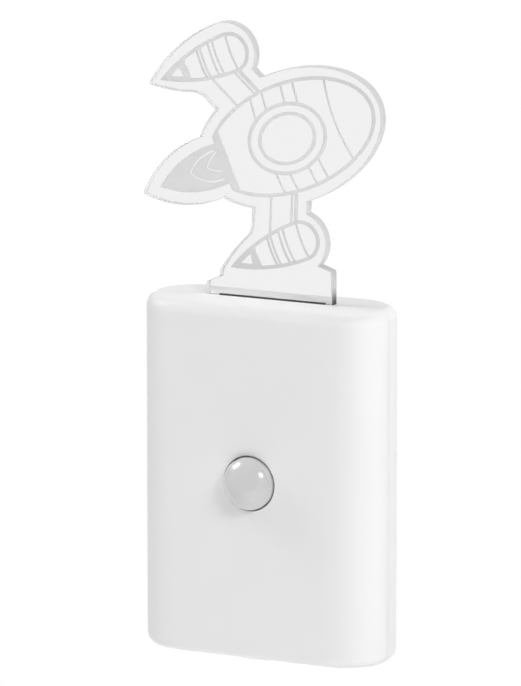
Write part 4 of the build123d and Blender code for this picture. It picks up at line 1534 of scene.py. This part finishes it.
        floor_y = self.back_y - self.engraving_depth
        for cell, engraved in cells:
            bm.faces.new([corner(spot, self.front_y) for spot in cell])
            depth = floor_y if engraved else self.back_y
            floor = bm.faces.new([corner(spot, depth) for spot in reversed(cell)])
            floor.material_index = SheetFace.ENGRAVED if engraved else SheetFace.POLISHED
        for owners in self.sides_of(cells):
            if len(owners) == 2 and owners[0][0] != owners[1][0]:
                _, first, second = owners[0] if owners[0][0] else owners[1]
                strip((second, first), (second, first), floor_y, self.back_y, SheetFace.ENGRAVED)
        near_y, far_y = self.front_y + self.arris, self.back_y - self.arris
        for k in range(len(edge)):
            last = (k - 1) % len(edge)
            outer, inner = (edge_from + last, edge_from + k), (rim[last], rim[k])
            strip(inner, outer, self.front_y, near_y, SheetFace.ARRIS)
            strip(outer, outer, near_y, far_y, SheetFace.CUT)
            strip(outer, inner, far_y, self.back_y, SheetFace.ARRIS)
        mesh = bpy.data.meshes.new("acrylic_rocket")
        open_edges = sum(len(e.link_faces) != 2 for e in bm.edges)
        bm.to_mesh(mesh)
        bm.free()
        LOG.info("acrylic_rocket: %d open edges", open_edges)
        sheet = bpy.data.objects.new("acrylic_rocket", mesh)
        bpy.context.scene.collection.objects.link(sheet)
        finish_piece(sheet, [CLEAR_ACRYLIC, ENGRAVED, CUT_EDGE, ARRIS], "panel", ["rocket_panel"])


# ------------------------------------------------------------------ sensor dome
@dataclass
class SensorDome:
    """Translucent dome lens with its flange behind the front wall."""

    rise: float = 0.4
    radius: float = 6.7
    projection: float = 4.6
    wall: float = 0.7
    face_y: float = -26.0
    flange: float = 1.9
    flange_y: Point2 = (-24.0, -23.0)
    flange_chamfer: float = 0.15
    segments: int = 96
    rings: int = 22

    def cap(self, inset: float) -> list[Point2]:
        """Half ellipsoid, inset from the outer skin.

        Args:
            inset: Distance inside the skin.

        Returns:
            Pairs of radius and Y, from its pole to its rim.
        """
        turns = [pi / 2 * k / self.rings for k in range(self.rings + 1)]
        return [((self.radius - inset) * sin(turn),
                 self.face_y - (self.projection - inset) * cos(turn)) for turn in turns]

    def build(self) -> None:
        """Turn the lens and dress it."""
        outer = self.cap(0.0)
        inner = self.cap(self.wall)
        near, far = self.flange_y
        reach = self.radius + self.flange
        edge = self.flange_chamfer
        skirt = [(self.radius, near), (reach - edge, near), (reach, near + edge),
                 (reach, far - edge), (reach - edge, far), (self.radius - self.wall, far)]
        bm = bmesh.new()
        lathe(bm, outer + skirt + inner[::-1], (0.0, self.rise), self.segments)
        lens = piece_of(bm, "sensor_dome")
        finish_piece(lens, [LENS_PE], "root", ["pir_lens"], smooth_to=35.0)


# ------------------------------------------------------------------ mode knob
@dataclass
class ModeKnob:
    """Sliding knob of the mode switch, with grooves across it for a fingertip."""

    centre_y: float = -19.7
    bottom_z: float = -45.6
    size: tuple[float, float, float] = (8.0, 4.0, 1.7)
    corner: float = 0.5
    edge: float = 0.25              # rounding of its lower edge
    edge_middle: float = 0.3        # share of that rounding at its middle
    stem: Point2 = (3.0, 1.8)
    groove_pitch: float = 1.3
    groove_radius: float = 0.32
    grooves: int = 5

    def body(self) -> bpy.types.Object:
        """Rounded block with the socket of the stem.

        Returns:
            The knob without its grooves.
        """
        half_x, half_y = self.size[0] / 2, self.size[1] / 2
        middle = self.edge * self.edge_middle
        rings = []
        for inset, z in ((self.edge, 0.0), (middle, middle), (0.0, self.edge),
                         (0.0, self.size[2])):
            ring: list[tuple[float, float, float]] = []
            for sx, sy, start in ((1, 1, 0.0), (-1, 1, pi / 2), (-1, -1, pi), (1, -1, 1.5 * pi)):
                centre = (sx * (half_x - self.corner), sy * (half_y - self.corner))
                ring += [(x, y + self.centre_y, self.bottom_z + z) for x, y in arc(
                    centre, self.corner - inset, start, start + pi / 2, steps=6)]
            rings.append(ring)
        bm = bmesh.new()
        loft(bm, rings)
        block = piece_of(bm, "mode_knob")
        top = self.bottom_z + self.size[2]
        low, high = top - self.size[2] / 2, top + OVERSHOOT
        corners = [(sx * self.stem[0] / 2, self.centre_y + sy * self.stem[1] / 2)
                   for sx, sy in ((-1, -1), (1, -1), (1, 1), (-1, 1))]
        bm = bmesh.new()
        loft(bm, [[(x, y, z) for x, y in corners] for z in (low, high)])
        shape_with(block, piece_of(bm, "socket"), Cut.REMOVE)
        return block

    def build(self) -> None:
        """Cut the grooves by a row of round cutters and dress the knob."""
        knob = self.body()
        grower = Grower("knob_grooves")
        count = grower.size("Groove Count", self.grooves)
        pitch = grower.size("Groove Pitch", self.groove_pitch * MM)
        radius = grower.size("Groove Radius", self.groove_radius * MM)
        length = grower.size("Groove Length", self.size[1] * 2 * MM)
        gaps = grower.node("ShaderNodeMath", {0: count, 1: 1.0}, operation="SUBTRACT")
        reach = grower.node("ShaderNodeMath", {0: gaps, 1: pitch}, operation="MULTIPLY")
        first = grower.node("ShaderNodeMath", {0: reach, 1: -0.5}, operation="MULTIPLY")
        start = grower.node("ShaderNodeCombineXYZ", {
            "X": first, "Y": self.centre_y * MM, "Z": self.bottom_z * MM})
        step = grower.node("ShaderNodeCombineXYZ", {"X": pitch})
        row = grower.node("GeometryNodeMeshLine", {
            "Count": count, "Start Location": start, "Offset": step}, mode="OFFSET")
        cutter = grower.node("GeometryNodeMeshCylinder", {
            "Vertices": 24, "Radius": radius, "Depth": length})
        cutters = grower.node("GeometryNodeInstanceOnPoints", {
            "Points": row, "Instance": cutter, "Rotation": (pi / 2, 0.0, 0.0)})
        solid = grower.node("GeometryNodeRealizeInstances", {"Geometry": cutters})
        grooved = grower.node("GeometryNodeMeshBoolean", {
            "Mesh 1": grower.entry.outputs["Geometry"], "Mesh 2": solid},
            operation="DIFFERENCE", solver="EXACT")
        grower.grow(knob, grooved, WHITE_ABS)
        finish_piece(knob, [WHITE_ABS], "mode_switch", ["switch_knob"])


# ------------------------------------------------------------------ plug blades
@dataclass
class PlugBlades:
    """Two flat brass blades with bevelled tips and a hole each."""

    spacing: float = 12.7
    width: float = 6.35
    thickness: float = 1.5
    length: float = 17.0
    tip: float = 1.3
    hole_reach: float = 11.7
    hole_radius: float = 1.6
    shoulder: Point2 = (-2.0, 4.8)                      # its end and its half height
    tab: tuple[float, float, float] = (-9.4, -3.5, 2.5)     # its two ends and its half height
    eyelet: Point2 = (-7.7, 0.8)                        # its place and its radius
    edge: float = 0.18

    def outline(self) -> list[Point2]:
        """Upper half of a blade's outline, from the solder tab to the tip.

        Returns:
            Points of Y and Z.
        """
        tab_from, shoulder_from, tab_half = self.tab
        shoulder_to, shoulder_half = self.shoulder
        half = self.width / 2
        return [(tab_from, tab_half), (shoulder_from, tab_half), (shoulder_from, shoulder_half),
                (shoulder_to, shoulder_half), (shoulder_to, half), (self.length - self.tip, half),
                (self.length, half - self.tip)]

    def hole(self, x: float, y: float, radius: float) -> bpy.types.Object:
        """Round cutter across a blade.

        Args:
            x: Middle of the blade.
            y: Y of the hole.
            radius: Radius of the hole.

        Returns:
            The cutter.
        """
        bm = bmesh.new()
        circle = arc((y, 0.0), radius, 0.0, 2 * pi, steps=40)[:-1]
        loft(bm, [[(level, py, pz) for py, pz in circle]
                  for level in (x - self.thickness, x + self.thickness)])
        return piece_of(bm, "cutter")

    def build(self) -> None:
        """Make and dress both blades."""
        upper = self.outline()
        ring = upper + [(y, -z) for y, z in reversed(upper)]
        for side, word in ((-1, "left"), (1, "right")):
            x = side * self.spacing / 2
            bm = bmesh.new()
            loft(bm, [[(x + s * self.thickness / 2, y, z) for y, z in ring] for s in (-1, 1)])
            blade = piece_of(bm, f"plug_blade_{word}")
            shape_with(blade, self.hole(x, self.hole_reach, self.hole_radius), Cut.REMOVE)
            shape_with(blade, self.hole(x, *self.eyelet), Cut.REMOVE)
            bevel(blade, self.edge)
            finish_piece(blade, [NICKEL_BRASS], "root", [f"blade_{word}"])


# ------------------------------------------------------------------ case screws
@dataclass
class CaseScrews:
    """Four long self-tapping screws with domed heads and a cross recess."""

    spread: Point2 = (52.4, 59.0)
    seat_y: float = -7.5
    length: float = 12.0
    shank_radius: float = 1.3
    head_radius: float = 2.2
    head_height: float = 1.6
    dome: float = 1.6               # radius of the head's dome over the head's own
    cross_width: float = 0.55
    cross_depth: float = 0.8
    cross_reach: float = 1.25       # length of the cross over the head's radius

    def head(self, grower: Grower) -> bpy.types.NodeSocket:
        """Drum under a dome, with a cross cut into it, standing on the level 0.

        Args:
            grower: Tree that it grows in.

        Returns:
            The head's geometry.
        """
        radius = grower.size("Head Radius", self.head_radius * MM)
        height = grower.size("Head Height", self.head_height * MM)
        width = grower.size("Cross Width", self.cross_width * MM)
        depth = grower.size("Cross Depth", self.cross_depth * MM)
        middle = grower.node("ShaderNodeMath", {0: height, 1: 0.5}, operation="MULTIPLY")
        bend = grower.node("ShaderNodeMath", {0: radius, 1: self.dome}, operation="MULTIPLY")
        sunk = grower.node("ShaderNodeMath", {0: height, 1: bend}, operation="SUBTRACT")
        drum = grower.node("GeometryNodeTransform", {
            "Geometry": grower.node("GeometryNodeMeshCylinder", {
                "Vertices": 48, "Radius": radius, "Depth": height}),
            "Translation": grower.node("ShaderNodeCombineXYZ", {"Z": middle})})
        ball = grower.node("GeometryNodeTransform", {
            "Geometry": grower.node("GeometryNodeMeshUVSphere", {
                "Segments": 64, "Rings": 32, "Radius": bend}),
            "Translation": grower.node("ShaderNodeCombineXYZ", {"Z": sunk})})
        head = grower.node("GeometryNodeMeshBoolean", {"Mesh 2": [drum, ball]},
                           operation="INTERSECT", solver="EXACT")
        arm = grower.node("ShaderNodeMath", {0: radius, 1: self.cross_reach}, operation="MULTIPLY")
        # A bar's middle lies on the top, so it is twice as high as the cross is deep.
        high = grower.node("ShaderNodeMath", {0: depth, 1: 2.0}, operation="MULTIPLY")
        for x, y in ((arm, width), (width, arm)):
            size = grower.node("ShaderNodeCombineXYZ", {"X": x, "Y": y, "Z": high})
            bar = grower.node("GeometryNodeTransform", {
                "Geometry": grower.node("GeometryNodeMeshCube", {"Size": size}),
                "Translation": grower.node("ShaderNodeCombineXYZ", {"Z": height})})
            head = grower.node("GeometryNodeMeshBoolean", {"Mesh 1": head, "Mesh 2": bar},
                               operation="DIFFERENCE", solver="EXACT")
        return head

    def shank(self, grower: Grower) -> bpy.types.NodeSocket:
        """Plain shank below the level 0.

        Args:
            grower: Tree that it grows in.

        Returns:
            The shank's geometry.
        """
        length = grower.size("Shank Length", self.length * MM)
        radius = grower.size("Shank Radius", self.shank_radius * MM)
        drop = grower.node("ShaderNodeMath", {0: length, 1: -0.5}, operation="MULTIPLY")
        return grower.node("GeometryNodeTransform", {
            "Geometry": grower.node("GeometryNodeMeshCylinder", {
                "Vertices": 32, "Radius": radius, "Depth": length}),
            "Translation": grower.node("ShaderNodeCombineXYZ", {"Z": drop})})

    def build(self) -> None:
        """Grow one screw and set it at the four corners."""
        grower = Grower("case_screw_set")
        spread_x = grower.size("Spread X", self.spread[0] * MM)
        spread_z = grower.size("Spread Z", self.spread[1] * MM)
        seat = grower.size("Seat Place", self.seat_y * MM)
        screw = grower.node("GeometryNodeJoinGeometry", {
            "Geometry": [self.head(grower), self.shank(grower)]})
        grid = grower.node("GeometryNodeTransform", {
            "Geometry": grower.node("GeometryNodeMeshGrid", {
                "Size X": spread_x, "Size Y": spread_z, "Vertices X": 2, "Vertices Y": 2}),
            "Rotation": (pi / 2, 0.0, 0.0),
            "Translation": grower.node("ShaderNodeCombineXYZ", {"Y": seat})})
        spots = grower.node("GeometryNodeMeshToPoints", {"Mesh": grid})
        screws = grower.node("GeometryNodeInstanceOnPoints", {
            "Points": spots, "Instance": screw, "Rotation": (-pi / 2, 0.0, 0.0)})
        seed = piece_of(bmesh.new(), "case_screw_set")
        grower.grow(seed, screws, ZINC_STEEL)
        finish_piece(seed, [ZINC_STEEL], "root", ["case_screws"])


# ------------------------------------------------------------------ pieces that stay as constructed
@dataclass
class InnerParts:
    """Construction nodes that show as they are, each in the finish of its material slot."""

    def build(self) -> None:
        """Put the finish on every node that nothing replaces."""
        slot_of = {part["node"]: part["material_slot"] for part in frame["record"]["subparts"]}
        for name, node in frame["nodes"].items():
            if node.hide_render:
                continue
            finish = FINISH_OF_SLOT[slot_of[name]]
            node.data.materials.clear()
            node.data.materials.append(finish.material())
            LOG.info("%s keeps its shape, in %s", name, finish.name)


# ------------------------------------------------------------------ studio
def direction(azimuth: float, elevation: float) -> Vector:
    """Unit vector towards a place round the case.

    Args:
        azimuth: Degrees round the case, from straight in front of it towards its right.
        elevation: Degrees above the horizontal.

    Returns:
        The vector from the case.
    """
    a, e = radians(azimuth), radians(elevation)
    return Vector((sin(a) * cos(e), -cos(a) * cos(e), sin(e)))


@dataclass(frozen=True)
class Lamp:
    """Square soft lamp that points at the case."""

    name: str
    azimuth: float
    elevation: float
    size: float                     # side of its square
    level: float                    # brightness that it gives a white face square to it
    shows: bool = False             # whether glossy faces and clear plastic show it

    def hang(self, middle: Vector, distance: float) -> None:
        """Put the lamp in the scene.

        Args:
            middle: What it points at, in millimetres.
            distance: Its distance from there.
        """
        light = bpy.data.lights.new(self.name, "AREA")
        light.size = self.size * MM
        light.energy = self.level * (pi * distance * MM) ** 2
        holder = bpy.data.objects.new(self.name, light)
        holder.visible_glossy = holder.visible_transmission = self.shows
        holder.visible_camera = False
        bpy.context.scene.collection.objects.link(holder)
        toward = direction(self.azimuth, self.elevation)
        holder.location = (middle + toward * distance) * MM
        holder.rotation_euler = (-toward).to_track_quat("-Z", "Y").to_euler()


@dataclass
class Studio:
    """Pale floor, soft lamps and the camera."""

    floor_z: float = -1300.0
    floor_half: float = 9000.0
    floor_colour: str = "#EDEDED"
    azimuth: float = 25.8
    elevation: float = 11.6
    focal_pixels: float = 7000.0        # focal length in pixels of the render
    render_height: float = 686.0        # pixels
    sensor_mm: float = 36.0
    distance: float = 1750.0
    view_limit: float = 20000.0         # beyond the floor
    aim_right: float = -2.73            # what is aimed at, from the middle of the case
    aim_up: float = 32.98
    case_middle: tuple[float, float, float] = (0.0, -13.0, 0.0)
    lamp_distance: float = 1500.0
    ambient: float = 0.2                # level of the surround as the object is lit by it
    lamps: tuple[Lamp, ...] = (
        Lamp("key_lamp", 58.0, 35.0, 420.0, 0.39, shows=True),
        Lamp("left_lamp", -83.0, 39.0, 500.0, 0.46, shows=True),
        Lamp("right_lamp", 116.0, 12.0, 900.0, 0.55),
        Lamp("back_lamp", 190.0, -15.0, 900.0, 0.34),
        Lamp("top_lamp", 20.0, 72.0, 700.0, 0.14),
        Lamp("under_lamp", 5.0, -42.0, 900.0, 0.64))

    @staticmethod
    def seen_directly(tree: bpy.types.NodeTree) -> bpy.types.NodeSocket:
        """Factor that is 1 where the camera, a reflection or clear plastic sees the surround.

        Args:
            tree: Tree of the floor's material or of the world.

        Returns:
            The factor's socket.
        """
        path = add_node(tree, "ShaderNodeLightPath")
        first = add_node(tree, "ShaderNodeMath", {
            0: path.outputs["Is Camera Ray"], 1: path.outputs["Is Transmission Ray"]},
            operation="MAXIMUM")
        both = add_node(tree, "ShaderNodeMath", {
            0: first.outputs[0], 1: path.outputs["Is Glossy Ray"]}, operation="MAXIMUM")
        return both.outputs[0]

    def floor(self) -> None:
        """Large floor far below, white to the camera and pale to the lamps."""
        bm = bmesh.new()
        half = self.floor_half
        corners = [bm.verts.new(Vector((x, y, self.floor_z)) * MM)
                   for x, y in ((-half, -half), (half, -half), (half, half), (-half, half))]
        bm.faces.new(corners)
        ground = piece_of(bm, "floor")
        paper = bpy.data.materials.new("paper_floor")
        paper.use_nodes = True
        tree = paper.node_tree
        tree.nodes.clear()
        matt = add_node(tree, "ShaderNodeBsdfDiffuse", {"Color": linear(self.floor_colour)})
        glow = add_node(tree, "ShaderNodeEmission", {"Color": WHITE, "Strength": 1.0})
        mix = add_node(tree, "ShaderNodeMixShader", {
            0: self.seen_directly(tree), 1: matt.outputs[0], 2: glow.outputs[0]})
        add_node(tree, "ShaderNodeOutputMaterial", {"Surface": mix.outputs[0]})
        ground.data.materials.append(paper)

    def world(self) -> None:
        """White surround to the camera, a plain soft level to the object."""
        world = bpy.data.worlds.new("studio")
        bpy.context.scene.world = world
        world.use_nodes = True
        tree = world.node_tree
        tree.nodes.clear()
        soft = add_node(tree, "ShaderNodeBackground", {"Color": WHITE, "Strength": self.ambient})
        white = add_node(tree, "ShaderNodeBackground", {"Color": WHITE, "Strength": 1.0})
        mix = add_node(tree, "ShaderNodeMixShader", {
            0: self.seen_directly(tree), 1: soft.outputs[0], 2: white.outputs[0]})
        add_node(tree, "ShaderNodeOutputWorld", {"Surface": mix.outputs[0]})

    def camera(self) -> None:
        """Camera at the height and turn at which the object is seen."""
        forward = -direction(self.azimuth, self.elevation)
        right = Vector((cos(radians(self.azimuth)), sin(radians(self.azimuth)), 0.0))
        up = right.cross(forward)
        aim = Vector(self.case_middle) + right * self.aim_right + up * self.aim_up
        lens = bpy.data.cameras.new("camera")
        lens.sensor_fit = "VERTICAL"
        lens.sensor_height = self.sensor_mm
        lens.lens = self.focal_pixels / self.render_height * self.sensor_mm
        lens.clip_end = self.view_limit * MM
        camera = bpy.data.objects.new("camera", lens)
        bpy.context.scene.collection.objects.link(camera)
        turn = Matrix((right, up, -forward)).transposed().to_4x4()
        camera.matrix_world = Matrix.Translation((aim - forward * self.distance) * MM) @ turn
        bpy.context.scene.camera = camera

    def build(self) -> None:
        """Set up everything round the object."""
        self.floor()
        self.world()
        for lamp in self.lamps:
            lamp.hang(Vector(self.case_middle), self.lamp_distance)
        self.camera()
        bpy.context.scene.view_settings.view_transform = "Standard"


def main() -> None:
    """Build every sub-assembly, dress what stays, and set up the studio."""
    logging.basicConfig(level=logging.INFO, format="%(name)s: %(message)s")
    for assembly in (Case(), RocketPanel(), SensorDome(), ModeKnob(), PlugBlades(), CaseScrews(),
                     InnerParts(), Studio()):
        LOG.info("building %s", type(assembly).__name__)
        assembly.build()


if __name__ == "__main__":
    main()
